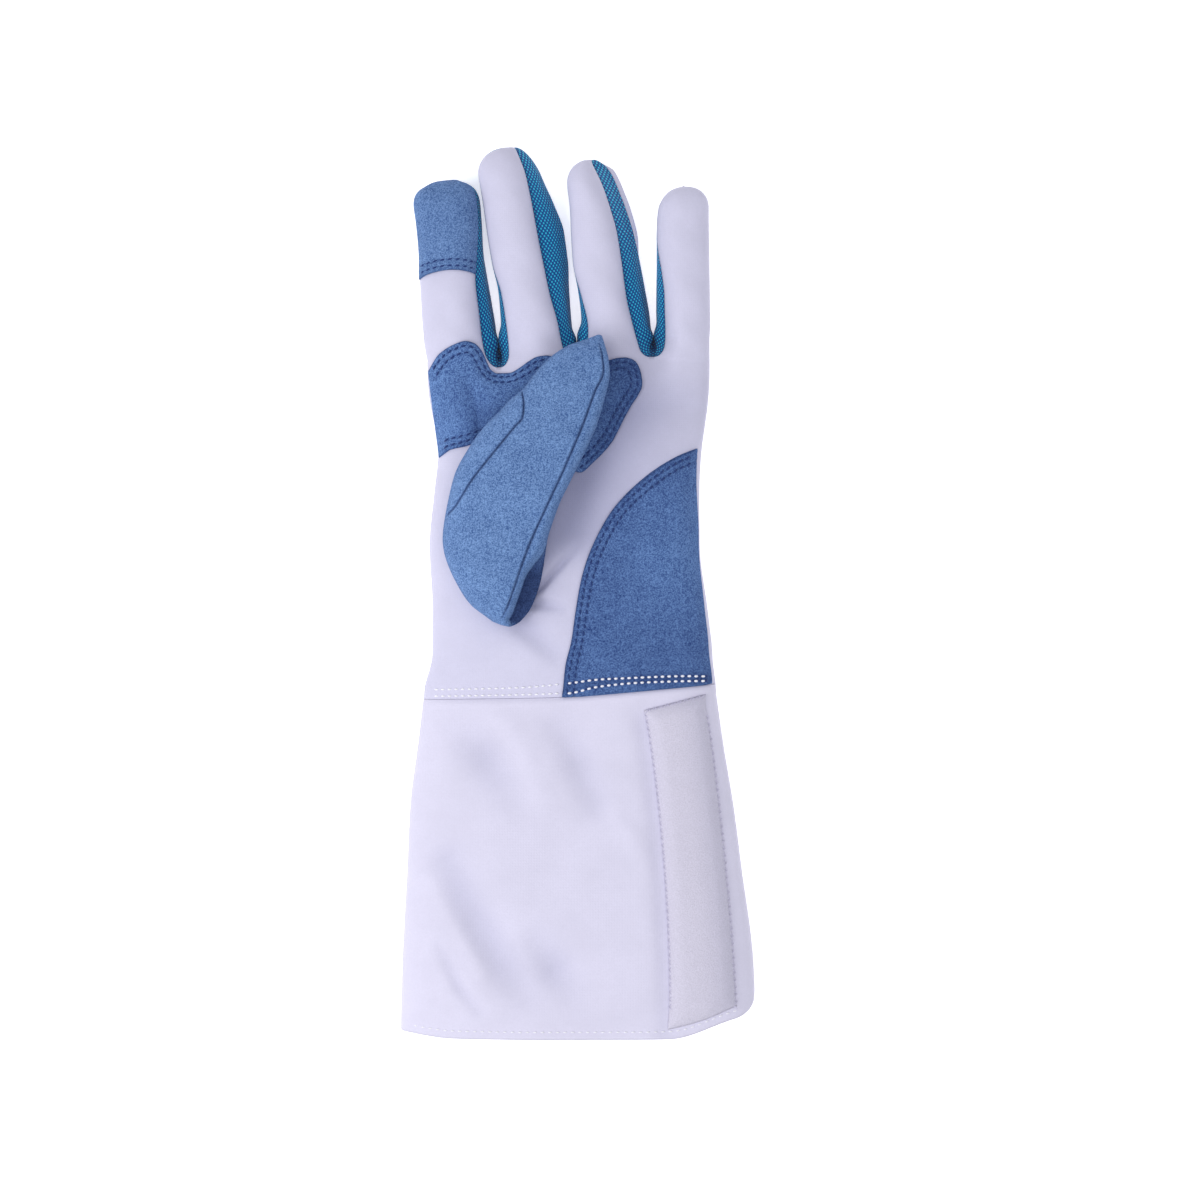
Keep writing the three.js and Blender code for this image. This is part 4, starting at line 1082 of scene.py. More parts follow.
def patch_piece(shape, name, x, y, distance, shade, material, replaced):
    """A suede patch over the palm side: rounded at its cut edge and drawn in along its stitches."""
    lift = shape.patch_thickness + PATCH_GAP - edge_fall(distance)
    lift = lift - stitch_groove(distance, PATCH_ROWS)
    left, right = shape.sides(np.minimum(y, shape.knuckle_height))
    lift = lift * mix(0.3, 1, ease(np.minimum(x - left, right - x) / 6))
    points, _ = shape.placed(shape.palm_top, x, y, lift)
    make_piece(
        name,
        [(points, False)],
        material,
        shape.patch_thickness,
        [replaced],
        shades=[shade * patch_shade(distance, PATCH_ROWS)],
    )


def palm_patch_edge(shape, side, across):
    """Points along the palm patch's upper or lower edge."""
    top = shape.knuckle_height + PATCH_ABOVE
    share = getattr(PALM_PATCH, side)(across)
    y = top - shape.palm_patch_height * (1 - share)
    left, _ = shape.sides(np.minimum(y, shape.knuckle_height))
    x = left + PATCH_INSET + across * (shape.palm_patch_width + 0.3)
    return x, unsettled(x, y)


def palm_patch_grid(shape):
    """x, y and distance from the sewn edges over the palm patch."""
    u = np.linspace(0, 1, 151)
    across = mix(u, ease(u), 0.6)
    v = spread(72)[:, None] * 0.5 + 0.5
    x_top, y_top = palm_patch_edge(shape, "top", across)
    x_low, y_low = palm_patch_edge(shape, "bottom", across)
    x, y = mix(x_low, x_top, v), mix(y_low, y_top, v)
    outline = np.concatenate([np.stack([x_top, y_top], -1), np.stack([x_low, y_low], -1)[::-1]])
    return x, y, edge_distance(x, y, outline)


def edge_distance(x, y, outline):
    """Distance of each place from the nearest part of an outline."""
    nearest = np.full(np.broadcast(x, y).shape, 1e9)
    for a, b in zip(outline[:-1], outline[1:]):
        run = b - a
        length = max(float(run @ run), 1e-9)
        t = np.clip(((x - a[0]) * run[0] + (y - a[1]) * run[1]) / length, 0, 1)
        nearest = np.minimum(nearest, np.hypot(x - a[0] - t * run[0], y - a[1] - t * run[1]))
    return nearest


def heel_edge(shape, v):
    """Points along the heel patch's curved edge, from the wrist to the side seam."""
    y = v * shape.heel_patch_height
    _, right = shape.sides(y)
    x = right - HEEL_INSET - HEEL_PATCH.reach(v) * shape.heel_patch_width
    return x, np.maximum(y, shape.wrist_line(x) + HEEL_ABOVE)


def heel_patch_grid(shape):
    """x, y and distance from the curved edge over the heel patch."""
    v = 1 - (1 - np.linspace(0, 1, 121)) ** 1.4
    edge_x, edge_y = heel_edge(shape, v)
    _, right = shape.sides(v * shape.heel_patch_height)
    u = np.sin(np.linspace(0, np.pi / 2, 81))[None, :]
    inset = 2.4 - 1.5 * bell(v * shape.heel_patch_height - 64, 20)
    x = mix(edge_x[:, None], (right - inset)[:, None], u)
    y = mix(shape.wrist_line(x) + HEEL_ABOVE, shape.heel_patch_height, v[:, None])
    outline = np.stack([edge_x, edge_y], -1)
    return x, y, edge_distance(x, y, outline)


def palm_patch_shade(shape, x, y):
    """Painted light and shade on the palm patch: light at its left, dark in its crease, near the
    thumb and at its right.
    """
    crease_x, crease_y, slant, reach, length = -40, 121, 0.25, math.sqrt(60), 13
    crease = 0.28 * bell(x - crease_x + (y - 120) * slant, reach) * bell(y - crease_y, length)
    near = 0.24 * bell(beside_thumb(shape, x, y)[0], SHADOW_CLOSE) * ease((-x - 4) / 12)
    right_side = 0.5 * ease((x + 2) / 20)
    return 1.14 - crease - near - right_side


def heel_patch_shade(shape, x, y):
    """Painted light in the heel patch's middle, painted shade at its lower right and along its
    stitches.
    """
    # Painted light on the middle; painted shade at the lower right and in the groove of the
    # stitches
    painted_light_middle = 0.27 * bell(x - 42, 17) * bell(y - 52, 30)
    low_right = 0.09 * ease((x - 20) / 14) * ease((60 - y) / 30)
    rows = (WRIST_ROWS.lower(x) + WRIST_ROWS.upper(x)) / 2
    stitched = 0.25 * bell(y - shape.wrist_line(x) - rows, 1.8)
    return 0.77 + painted_light_middle - low_right - stitched


def add_node(tree, kind, inputs=None, **settings):
    """Adds a node, with its settings, and sockets that take a value or another node's output."""
    node = tree.nodes.new(kind)
    for name, value in settings.items():
        setattr(node, name, value)
    for name, value in (inputs or {}).items():
        if isinstance(value, bpy.types.NodeSocket):
            tree.links.new(value, node.inputs[name])
        else:
            node.inputs[name].default_value = value
    return node


def new_material(name, place, roughness, sheen):
    """A soft matt material, and its pattern coordinates in millimetres."""
    material = bpy.data.materials.new(name)
    material.use_nodes = True
    tree = material.node_tree
    shader = tree.nodes["Principled BSDF"]
    shader.inputs["Roughness"].default_value = roughness
    shader.inputs["Sheen Weight"].default_value = sheen
    shader.inputs["Sheen Roughness"].default_value = 0.45
    shader.inputs["Specular IOR Level"].default_value = 0.25
    coordinates = add_node(tree, "ShaderNodeTexCoord")
    scale = 1000 if place == "Object" else 100
    millimetres = add_node(
        tree,
        "ShaderNodeVectorMath",
        {0: coordinates.outputs[place], 1: (scale, scale, scale)},
        operation="MULTIPLY",
    ).outputs[0]
    return material, tree, shader, millimetres


def add_surface(tree, shader, level, colours, height, strength, depth):
    """Two colours mixed by a level and darkened as the piece's shade says, and relief in mm."""
    dark, light = colours
    tint = add_node(
        tree, "ShaderNodeMix", {"Factor": level, "A": dark, "B": light}, data_type="RGBA"
    )
    shade = add_node(tree, "ShaderNodeAttribute", attribute_name="shade")
    product = add_node(
        tree,
        "ShaderNodeMix",
        {"Factor": 1.0, "A": tint.outputs["Result"], "B": shade.outputs["Color"]},
        data_type="RGBA",
        blend_type="MULTIPLY",
    )
    tree.links.new(product.outputs["Result"], shader.inputs["Base Color"])
    bump = add_node(
        tree, "ShaderNodeBump", {"Height": height, "Strength": strength, "Distance": depth * MM}
    )
    tree.links.new(bump.outputs["Normal"], shader.inputs["Normal"])


# Scale at which a wave texture draws one band to a millimetre
WAVE_PITCH = 0.314
# Distances between the mesh's loops along and across a gusset, in mm
MESH_PITCH = (2.1, 1.575)
# Scale, roughness, low end and share of the suede's nap, its tufts and its brushed patches
SUEDE_NAP = ((1.6, 0.8, 0.415, 1), (0.55, 0.7, 0.36, 0.22), (0.13, 0.6, 0.34, 0.13))


def darker(colour, share):
    """A colour at a share of its brightness, still opaque."""
    return tuple(c * share for c in colour[:3]) + (1.0,)


def cloth_material(name, colour, pitch):
    """Polyester cloth over thin padding, plain woven: a matt surface with a slight soft sheen."""
    material, tree, shader, place = new_material(
        name, "Object", roughness=0.86, sheen=0.12
    )
    noises = [
        add_node(
            tree,
            "ShaderNodeTexNoise",
            {"Vector": place, "Scale": scale, "Detail": detail, "Roughness": roughness},
        ).outputs["Fac"]
        for scale, detail, roughness in ((0.06, 3.0, 0.6), (1.1, 4.0, 0.75))
    ]
    blend = add_node(tree, "ShaderNodeMath", {0: noises[0], 1: noises[1]}, operation="MULTIPLY")
    level = add_node(
        tree,
        "ShaderNodeMapRange",
        {"Value": blend.outputs[0], "From Min": 0.12, "From Max": 0.38},
    )
    waves = [
        add_node(
            tree,
            "ShaderNodeTexWave",
            {"Vector": place, "Scale": WAVE_PITCH / pitch, "Distortion": 0.6, "Detail": 1.0},
            bands_direction=direction,
        ).outputs["Fac"]
        for direction in "XY"
    ]
    weave = add_node(tree, "ShaderNodeMath", {0: waves[0], 1: waves[1]}, operation="MULTIPLY")
    grain = add_node(
        tree,
        "ShaderNodeMath",
        {0: weave.outputs[0], 1: 0.5, 2: noises[1]},
        operation="MULTIPLY_ADD",
    )
    level, shades = level.outputs["Result"], (darker(colour, 0.93), colour)
    add_surface(tree, shader, level, shades, grain.outputs[0], strength=0.32, depth=0.18)
    return material


def suede_material(name, colour, shade):
    """Blue suede split: a short brushed nap, speckled light and dark, with a soft sheen."""
    material, tree, shader, place = new_material(
        name, "Object", roughness=0.95, sheen=0.25
    )
    shader.inputs["Sheen Tint"].default_value = tuple(min(1, c * 1.6) for c in colour[:3]) + (1.0,)
    level = nap = None
    for scale, roughness, low, share in SUEDE_NAP:
        noise = add_node(
            tree,
            "ShaderNodeTexNoise",
            {"Vector": place, "Scale": scale, "Detail": 3.0, "Roughness": roughness},
        ).outputs["Fac"]
        speckle = add_node(
            tree, "ShaderNodeMapRange", {"Value": noise, "From Min": low, "From Max": 1 - low}
        ).outputs["Result"]
        if nap is None:
            level, nap = speckle, noise
            continue
        level = add_node(
            tree, "ShaderNodeMix", {0: share, 2: level, 3: speckle}, data_type="FLOAT"
        ).outputs[0]
    add_surface(tree, shader, level, (shade, colour), nap, strength=0.75, depth=0.7)
    return material


def mesh_material(name, yarn, loops):
    """Warp-knitted polyester mesh: rows of raised loops over darker yarn. The real loops are finer;
    they are drawn 2.1 mm apart so that they show."""
    material, tree, shader, place = new_material(
        name, "UV", roughness=0.6, sheen=0.1
    )
    parts = add_node(tree, "ShaderNodeSeparateXYZ", {"Vector": place})
    waves = []
    for axis, step in enumerate(MESH_PITCH):
        turn = add_node(
            tree,
            "ShaderNodeMath",
            {0: parts.outputs[axis], 1: 2 * math.pi / step},
            operation="MULTIPLY",
        )
        wave = add_node(tree, "ShaderNodeMath", {0: turn.outputs[0]}, operation="SINE")
        waves.append(wave.outputs[0])
    cells = add_node(tree, "ShaderNodeMath", {0: waves[0], 1: waves[1]}, operation="MULTIPLY")
    dots = add_node(
        tree,
        "ShaderNodeMapRange",
        {"Value": cells.outputs[0], "From Min": 0.12, "From Max": 0.66},
    )
    level, relief = dots.outputs["Result"], cells.outputs[0]
    add_surface(tree, shader, level, (yarn, loops), relief, strength=0.7, depth=0.4)
    return material


def pile_material(name, colour):
    """Nylon loop tape: a dense, soft, slightly grey pile with no shine."""
    material, tree, shader, place = new_material(
        name, "Object", roughness=0.97, sheen=0.2
    )
    pile = add_node(
        tree, "ShaderNodeTexNoise", {"Vector": place, "Scale": 1.6, "Detail": 5.0, "Roughness": 0.8}
    ).outputs["Fac"]
    level = add_node(
        tree, "ShaderNodeMapRange", {"Value": pile, "From Min": 0.35, "From Max": 0.65}
    )
    level, shades = level.outputs["Result"], (darker(colour, 0.84), colour)
    add_surface(tree, shader, level, shades, pile, strength=0.8, depth=0.6)
    return material


def thread_material(name, colour):
    """Spun polyester sewing thread: satin, with the fine diagonal lines of its twist."""
    material, tree, shader, place = new_material(
        name, "Object", roughness=0.6, sheen=0.1
    )
    shader.inputs["Base Color"].default_value = colour
    twist = add_node(
        tree,
        "ShaderNodeTexWave",
        {"Vector": place, "Scale": 0.9, "Distortion": 1.0},
        bands_direction="DIAGONAL",
    )
    bump = add_node(
        tree,
        "ShaderNodeBump",
        {"Height": twist.outputs["Fac"], "Strength": 0.3, "Distance": 0.1 * MM},
    )
    tree.links.new(bump.outputs["Normal"], shader.inputs["Normal"])
    return material


# Each finish's maker, with the names of its colours and, for cloth, the distance between its yarns
FINISHES = {
    "woven polyester hand": (cloth_material, "cloth", 0.9),
    "woven polyester cuff": (cloth_material, "cuff", 1.1),
    "suede split thumb": (suede_material, "suede", "suede_shade"),
    "suede split patch": (suede_material, "patch", "patch_shade"),
    "warp-knitted mesh": (mesh_material, "mesh", "mesh_light"),
    "nylon loop pile": (pile_material, "tape"),
    "navy polyester thread": (thread_material, "navy_thread"),
    "white polyester thread": (thread_material, "white_thread"),
    "lavender polyester thread": (thread_material, "cloth_thread"),
}


def finish(context, name):
    """The material of one finish, made once from the scene's colours."""
    if name in bpy.data.materials:
        return bpy.data.materials[name]
    maker, *settings = FINISHES[name]
    colours = context.scene.glove_colours
    values = [tuple(getattr(colours, v)) if isinstance(v, str) else v for v in settings]
    return maker(name, *values)


def cuff_corner(s):
    """How far the cuff's hem rises towards its corners, rounded at the outer one."""
    slope = HEM_SLOPE * (ease((s - 0.5) / 0.45) + 0.2 * ease((-s - 0.7) / 0.3)) - 1.1 * dome(s, 3)
    past = (s - CORNER_START) / (1 - CORNER_START)
    return slope + CORNER_RISE * np.where(past > 0, 1 - dome(past, 2), 0)


# Each row's distance between stitches and thickness, in shares of the usual ones, then the share of
# a stitch's length that shows and its slant
SEWING = {
    "navy_stitches": (1.4, 1.6, 0.66, 0.22),
    "hem_stitches": (1.45, 1.2, 0.5, 0),
    "white_stitches": (1.3, 1.8, 0.6, 0),
    "wrist_stitches": (1.3, 2.1, 0.66, 0),
    # Painted shade at the needle holes between the wrist's white stitches on the suede
    "wrist_holes": (1.3, 2, 0.42, 0),
    "tape_stitches": (1, 0.9, 0.95, 0),
}


def stitches(shape, name, rows, material):
    """Rows of stitches, each a short thread that dips into the cloth at both ends."""
    _, thickness, length_share, slant = SEWING[name]
    width = thickness * shape.thread_width
    points, faces = [], []
    sides, rings = 6, 5
    taper, dip, rise = 0.65, 0.3, 0.22
    angles = np.linspace(0, 2 * np.pi, sides, endpoint=False)
    for starts, ends, normals in rows:
        for a, b, normal in zip(starts, ends, normals):
            middle, half = (a + b) / 2, (b - a) / 2 * length_share
            half = half + slant * np.cross(normal, half)
            side = np.cross(normal, unit(half))
            base = len(points) * sides
            for k in range(rings):
                w = -1 + 2 * k / (rings - 1)
                thick = width / 2 * (1 - taper * abs(w) ** 3)
                centre = middle + half * w + normal * width * (rise - dip * w * w)
                ring = centre + thick * (
                    np.cos(angles)[:, None] * side + np.sin(angles)[:, None] * normal
                )
                points.append(ring)
                if k:
                    for j in range(sides):
                        n = (j + 1) % sides
                        low = base + (k - 1) * sides
                        faces.append((low + j, low + n, low + sides + n, low + sides + j))
            faces.append(tuple(base + j for j in reversed(range(sides))))
            faces.append(tuple(base + (rings - 1) * sides + j for j in range(sides)))
    piece = link_mesh(name, settled(np.concatenate(points)), faces, material)
    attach(piece, "root")


def even_places(x, y, pitch):
    """Places a pitch apart along a line."""
    run = running(np.hypot(np.diff(x), np.diff(y)))
    count = max(int(run[-1] / pitch), 1)
    at = np.linspace(0, run[-1], count + 1)
    return np.interp(at, run, x), np.interp(at, run, y)


def stitch_row(shape, name, height, x, y, lift):
    """One row of stitches on a height field, along a line of places."""
    x, y = even_places(x, y, SEWING[name][0] * shape.stitch_pitch)
    point, normal = shape.placed(height, x, y, lift)
    return point[:-1], point[1:], normal[:-1]


def inset_line(x, y, distance):
    """A line moved sideways, to its right as it runs."""
    dx, dy = np.gradient(x), np.gradient(y)
    length = np.maximum(np.hypot(dx, dy), 1e-6)
    return x + distance * dy / length, y - distance * dx / length


class GLOVE_OT_palm_panel(Operator):
    """White palm and finger fronts in one sheet"""

    bl_idname = "fencing_glove.palm_panel"
    bl_label = "Palm panel"

    def execute(self, context):
        shape = glove_shape(context)
        grids = hand_grids(shape, "palm", 26, 150)
        shades = [thumb_shadow(shape, grid[..., 0], grid[..., 1]) for grid, _ in grids]
        make_piece(
            "palm_cloth",
            grids,
            finish(context, "woven polyester hand"),
            shape.hand_wall,
            ["palm_panel"],
            shades=shades,
        )
        return {"FINISHED"}


class GLOVE_OT_back_panel(Operator):
    """White back of the hand and finger backs in one sheet"""

    bl_idname = "fencing_glove.back_panel"
    bl_label = "Back panel"

    def execute(self, context):
        shape = glove_shape(context)
        make_piece(
            "back_cloth",
            hand_grids(shape, "back", 20, 60),
            finish(context, "woven polyester hand"),
            shape.hand_wall,
            ["back_panel"],
        )
        return {"FINISHED"}


class GLOVE_OT_gussets(Operator):
    """Teal mesh strips between the fingers"""

    bl_idname = "fencing_glove.gussets"
    bl_label = "Gussets"

    def execute(self, context):
        shape = glove_shape(context)
        tops = [grid for grid, _ in hand_grids(shape, "palm", 26, 150)[1:]]
        feet = [grid for grid, _ in hand_grids(shape, "back", 20, 60)[1:]]
        for n in range(3):
            names = FINGERS[n][0], FINGERS[n + 1][0]
            points, uvs, shade = gusset_grid(n, n + 1, tops, feet)
            make_piece(
                f"mesh_{names[0]}_{names[1]}",
                [(points, True)],
                finish(context, "warp-knitted mesh"),
                shape.gusset_wall,
                [f"gusset_{names[0]}_{names[1]}"],
                [uvs],
                [shade],
            )
        return {"FINISHED"}


class GLOVE_OT_patches(Operator):
    """Blue suede patches on the index tip, the palm and the heel of the hand"""

    bl_idname = "fencing_glove.patches"
    bl_label = "Suede patches"

    def execute(self, context):
        shape = glove_shape(context)
        suede = finish(context, "suede split patch")
        x, y, distance = palm_patch_grid(shape)
        shade = palm_patch_shade(shape, x, y)
        patch_piece(shape, "palm_suede", x, y, distance, shade, suede, "palm_patch")
        x, y, distance = heel_patch_grid(shape)
        shade = heel_patch_shade(shape, x, y)
        patch_piece(shape, "heel_suede", x, y, distance, shade, suede, "heel_patch")
        points, _, shade = tip_patch_points(shape)
        make_piece(
            "index_tip_suede",
            [(points, False)],
            finish(context, "suede split thumb"),
            shape.patch_thickness,
            ["index_tip_patch"],
            shades=[shade],
        )
        return {"FINISHED"}


# The same on the index tip patch, and how far it runs to the sides and the end of the finger
TIP_ROWS = (2.0, 4.8)
TIP_SIDES = 0.985
TIP_END = 0.994


def tip_patch_points(shape, columns=48, rows=90):
    """The index tip patch, wrapped over the finger, and the normals of its face."""
    finger = shape.fingers[0]
    s = spread(columns) * TIP_SIDES
    start = 1 - shape.tip_patch_length / finger.length
    v = np.sin(np.linspace(0, np.pi / 2, rows))
    t = start + v * (1 - start)
    flank = np.minimum(t, TIP_END)

    def surface(t, s):
        bow = 0.03 * (1 - s * s) + 0.014 * (1 + s)
        share = np.clip(t[:, None] + bow * (1 - (t[:, None] - start) / (1 - start)), 0, 1)
        left = shape.finger_edge(finger, "palm", -1, share)
        right = shape.finger_edge(finger, "palm", 1, share)
        x = between(left, right, s)
        z = shape.finger_top(finger, share, np.broadcast_to(s, x.shape))
        return np.stack([x, shape.finger_y(finger, x, share), z], -1)

    step = 0.004
    across = surface(flank, s + step) - surface(flank, s - step)
    along = surface(flank + step / 2, s) - surface(flank - step / 2, s)
    normal = unit(np.cross(across, along))
    distance = ((t - start) * finger.length)[:, None] * np.ones_like(s)
    lift = shape.patch_thickness + 0.2 - edge_fall(distance) - stitch_groove(distance, TIP_ROWS)
    lift = lift * mix(0.4, 1, ease((1 - np.abs(s)) / 0.35))
    points = surface(t, s) + normal * lift[..., None]
    return points, normal, 0.9 * patch_shade(distance, TIP_ROWS)


class GLOVE_OT_thumb(Operator):
    """Blue suede thumb, folded over the palm"""

    bl_idname = "fencing_glove.thumb"
    bl_label = "Thumb"

    def execute(self, context):
        shape = glove_shape(context)
        suede = finish(context, "suede split thumb")
        for side, (points, shade) in zip(("front", "back"), thumb_grids(shape)):
            make_piece(
                f"thumb_{side}_suede",
                [(points, False)],
                suede,
                shape.suede_wall,
                [f"thumb_{side}"],
                shades=[shade],
            )
        return {"FINISHED"}


# Distances below the hand's lower edge where the cuff's first rows lie
LAP_ROWS = (-0.3, 0, 0.06, 0.12, 0.35, 0.6, 0.9, 1.2, 1.6, 2, 2.4, 2.9, 3.5, 4.2)


def cuff_grid(shape, upper, columns, rows):
    """A cuff panel from its tuck under the hand down to its mouth."""
    s = spread(columns)[None, :]
    lap = shape.wrist_line(between(shape.wrist_left, shape.wrist_right, s))
    corner = cuff_corner(s)
    v = np.linspace(0, 1, rows)[:, None]
    y = np.concatenate(
        [
            np.full_like(lap, TUCK_TOP),
            *(lap - depth for depth in LAP_ROWS),
            mix(lap - LAP_ROWS[-1], -shape.cuff_length + corner, v)[1:],
        ]
    )
    x = between(*shape.sides(y), s)
    left, right, _, foot, seam = shape.cuff_section(x, y)
    x = between(left, right, s)
    if upper:
        z = shape.cuff_top(x, y)
    else:
        z = foot + (seam - foot) * bowl(s, FOOT_FLAT, SIDE_ROUND)
    z = np.where(np.abs(s) >= 1, seam, z)
    hem = y - (-shape.cuff_length + corner)
    press = 0.3 * bell(hem - HEM_ROW, 0.8) + 0.4 * bell(hem, 0.7)
    z = z - press * (1 if upper else -1) * dome(s, 4)
    return np.stack([x, y, z], -1)


class GLOVE_OT_cuff(Operator):
    """White flared cuff, front and back"""

    bl_idname = "fencing_glove.cuff"
    bl_label = "Cuff"

    def execute(self, context):
        shape = glove_shape(context)
        cloth = finish(context, "woven polyester cuff")
        for name, upper, node in (
            ("cuff_front_cloth", True, "cuff_front"),
            ("cuff_back_cloth", False, "cuff_back"),
        ):
            grid = cuff_grid(shape, upper, 130, 120)
            x, y = grid[..., 0], grid[..., 1]
            # Painted shade in the upper side's folds and in the valley along the tape's left side
            depth = CUFF_FOLD_SHADE * np.clip(fold_depth(CUFF_FOLDS, x, y), 0, DEEPEST_FOLD)
            depth = depth + 0.07 * shape.beside_tape(x, y, 3.5)
            make_piece(
                name,
                [(grid, upper)],
                cloth,
                shape.cuff_wall,
                [node],
                shades=[1 - depth * upper],
            )
        return {"FINISHED"}


def tape_head(u):
    """y of the tape's upper end, which slants up to the side of the hand."""
    return mix(-6.4, 0.2, u)


def tape_grid(shape):
    """x and y over the loop tape, and the distance from its edge."""
    u = spread(44)[None, :] * 0.5 + 0.5
    v = np.linspace(0, 1, 181)[:, None]
    top = tape_head(u)
    foot = top - shape.tape_length - 2.6 + 3.4 * (u - 0.3) * ease(u)
    y = mix(top, foot, v)
    left, right = shape.tape_edges(y)
    x = mix(left, right, u)
    distance = np.minimum(np.minimum(x - left, right - x), np.minimum(top - y, y - foot))
    return x, y, distance


class GLOVE_OT_closure_tape(Operator):
    """Soft loop tape sewn along the cuff"""

    bl_idname = "fencing_glove.closure_tape"
    bl_label = "Closure tape"

    def execute(self, context):
        shape = glove_shape(context)
        x, y, distance = tape_grid(shape)
        left, right = shape.tape_edges(y)
        crown = TAPE_CROWN * dome((2 * x - left - right) / (right - left), 1.8) * ease(distance / 6)
        lift = 0.15 + shape.tape_thickness * (1 - 0.88 * np.exp(-distance / 1.5)) + crown
        points, _ = shape.placed(shape.cuff_top, x, y, lift)
        make_piece(
            "closure_pile",
            [(points, True)],
            finish(context, "nylon loop pile"),
            shape.tape_thickness * 0.6,
            ["closure_tape"],
            # Painted light and shade: the pile lighter at its left and darker towards its right
            shades=[1.03 - 0.13 * ease(((x - left) / (right - left) - 0.4) / 0.6)],
        )
        return {"FINISHED"}


def patch_outlines(shape):
    """The sewn edges of the palm and heel patches, each run with the patch to its right."""
    u = np.linspace(0, 1, 300)
    across = mix(u, ease(u), 0.6)
    top = palm_patch_edge(shape, "top", across)
    low = palm_patch_edge(shape, "bottom", across[::-1])
    palm = np.concatenate([top[0], low[0]]), np.concatenate([top[1], low[1]])
    return palm, heel_edge(shape, u)


class GLOVE_OT_stitching(Operator):
    """Rows of stitches along the patches, the wrist, the tape and the hem"""

    bl_idname = "fencing_glove.stitching"
    bl_label = "Stitching"

    def execute(self, context):
        shape = glove_shape(context)
        navy = finish(context, "navy polyester thread")
        white = finish(context, "white polyester thread")
        pale = finish(context, "lavender polyester thread")
        lift = shape.patch_thickness + 0.02
        palm, heel = patch_outlines(shape)
        rows = []
        for outline in (palm, heel):
            for inset in PATCH_ROWS:
                x, y = inset_line(*outline, inset)
                left, right = shape.sides(np.minimum(y, shape.knuckle_height))
                kept = (x > left + 3) & (x < right - 4.5) & (y > shape.wrist_line(x) + 1)
                line = x[kept], y[kept]
                rows.append(stitch_row(shape, "navy_stitches", shape.palm_top, *line, lift))
        tip, normals, _ = tip_patch_points(shape, 60, LINE_POINTS)
        v = np.sin(np.linspace(0, np.pi / 2, LINE_POINTS)) * shape.tip_patch_length
        for row in TIP_ROWS:
            line = tip[np.searchsorted(v, row)][4:-4]
            normal = normals[np.searchsorted(v, row)][4:-4]
            length = running(np.linalg.norm(np.diff(line, axis=0), axis=1))
            pitch = SEWING["navy_stitches"][0] * shape.stitch_pitch
            at = np.linspace(0, length[-1], int(length[-1] / pitch) + 1)
            points = np.stack([np.interp(at, length, line[:, k]) for k in range(3)], -1)
            turned = np.stack([np.interp(at, length, normal[:, k]) for k in range(3)], -1)
            rows.append((points[:-1], points[1:], turned[:-1]))
        stitches(shape, "navy_stitches", rows, navy)
        x = np.linspace(*WRIST_ROW_ENDS, LINE_POINTS)
        heel_left = heel_edge(shape, np.array([0.02]))[0][0]
        cloth_rows, suede_rows = [], []
        for inset in (WRIST_ROWS.lower(x), WRIST_ROWS.upper(x)):
            y = shape.wrist_line(x) + inset
            for kept, name, up, sewn in (
                (x < heel_left - 1, "white_stitches", 0.0, cloth_rows),
                (x > heel_left + 1.2, "wrist_stitches", lift, suede_rows),
            ):
                sewn.append(stitch_row(shape, name, shape.palm_top, x[kept], y[kept], up))
        hem = np.linspace(*HEM_ROW_ENDS, LINE_POINTS)
        hem_y = -shape.cuff_length + cuff_corner(hem) + HEM_ROW
        hem_x = between(*shape.sides(hem_y), hem)
        hem_rows = [stitch_row(shape, "hem_stitches", shape.cuff_top, hem_x, hem_y, -0.2)]
        stitches(shape, "hem_stitches", hem_rows, white)
        stitches(shape, "white_stitches", cloth_rows, white)
        stitches(shape, "wrist_stitches", suede_rows, white)
        # Dark dashes where the white thread goes into the suede: painted shade in its needle holes
        gap_shadows = [((a + b) / 2, b + (b - a) / 2, n) for a, b, n in suede_rows]
        stitches(shape, "wrist_holes", gap_shadows, navy)
        stitches(shape, "tape_stitches", self.zigzag(shape), pale)
        return {"FINISHED"}

    def zigzag(self, shape):
        """Zigzag stitches over the tape's edges."""
        step, inset, lift = 1.5, 0.6, 0.95

        def swing(places):
            return np.where(np.arange(len(places)) % 2, 1.0, -1.0) * 0.9

        y = np.arange(-8.0, -TAPE_START - shape.tape_length + 4, -step)
        left, right = shape.tape_edges(y)
        u = np.linspace(0.03, 0.97, 20)
        top_y = tape_head(u)
        top_x = mix(*shape.tape_edges(top_y), u)
        rows = []
        for x, y in (
            (left + inset + swing(y), y),
            (right - inset + swing(y), y),
            (top_x, top_y - inset + swing(u)),
        ):
            point, normal = shape.placed(shape.cuff_top, x, y, lift)
            rows.append((point[:-1], point[1:], normal[:-1]))
        return rows


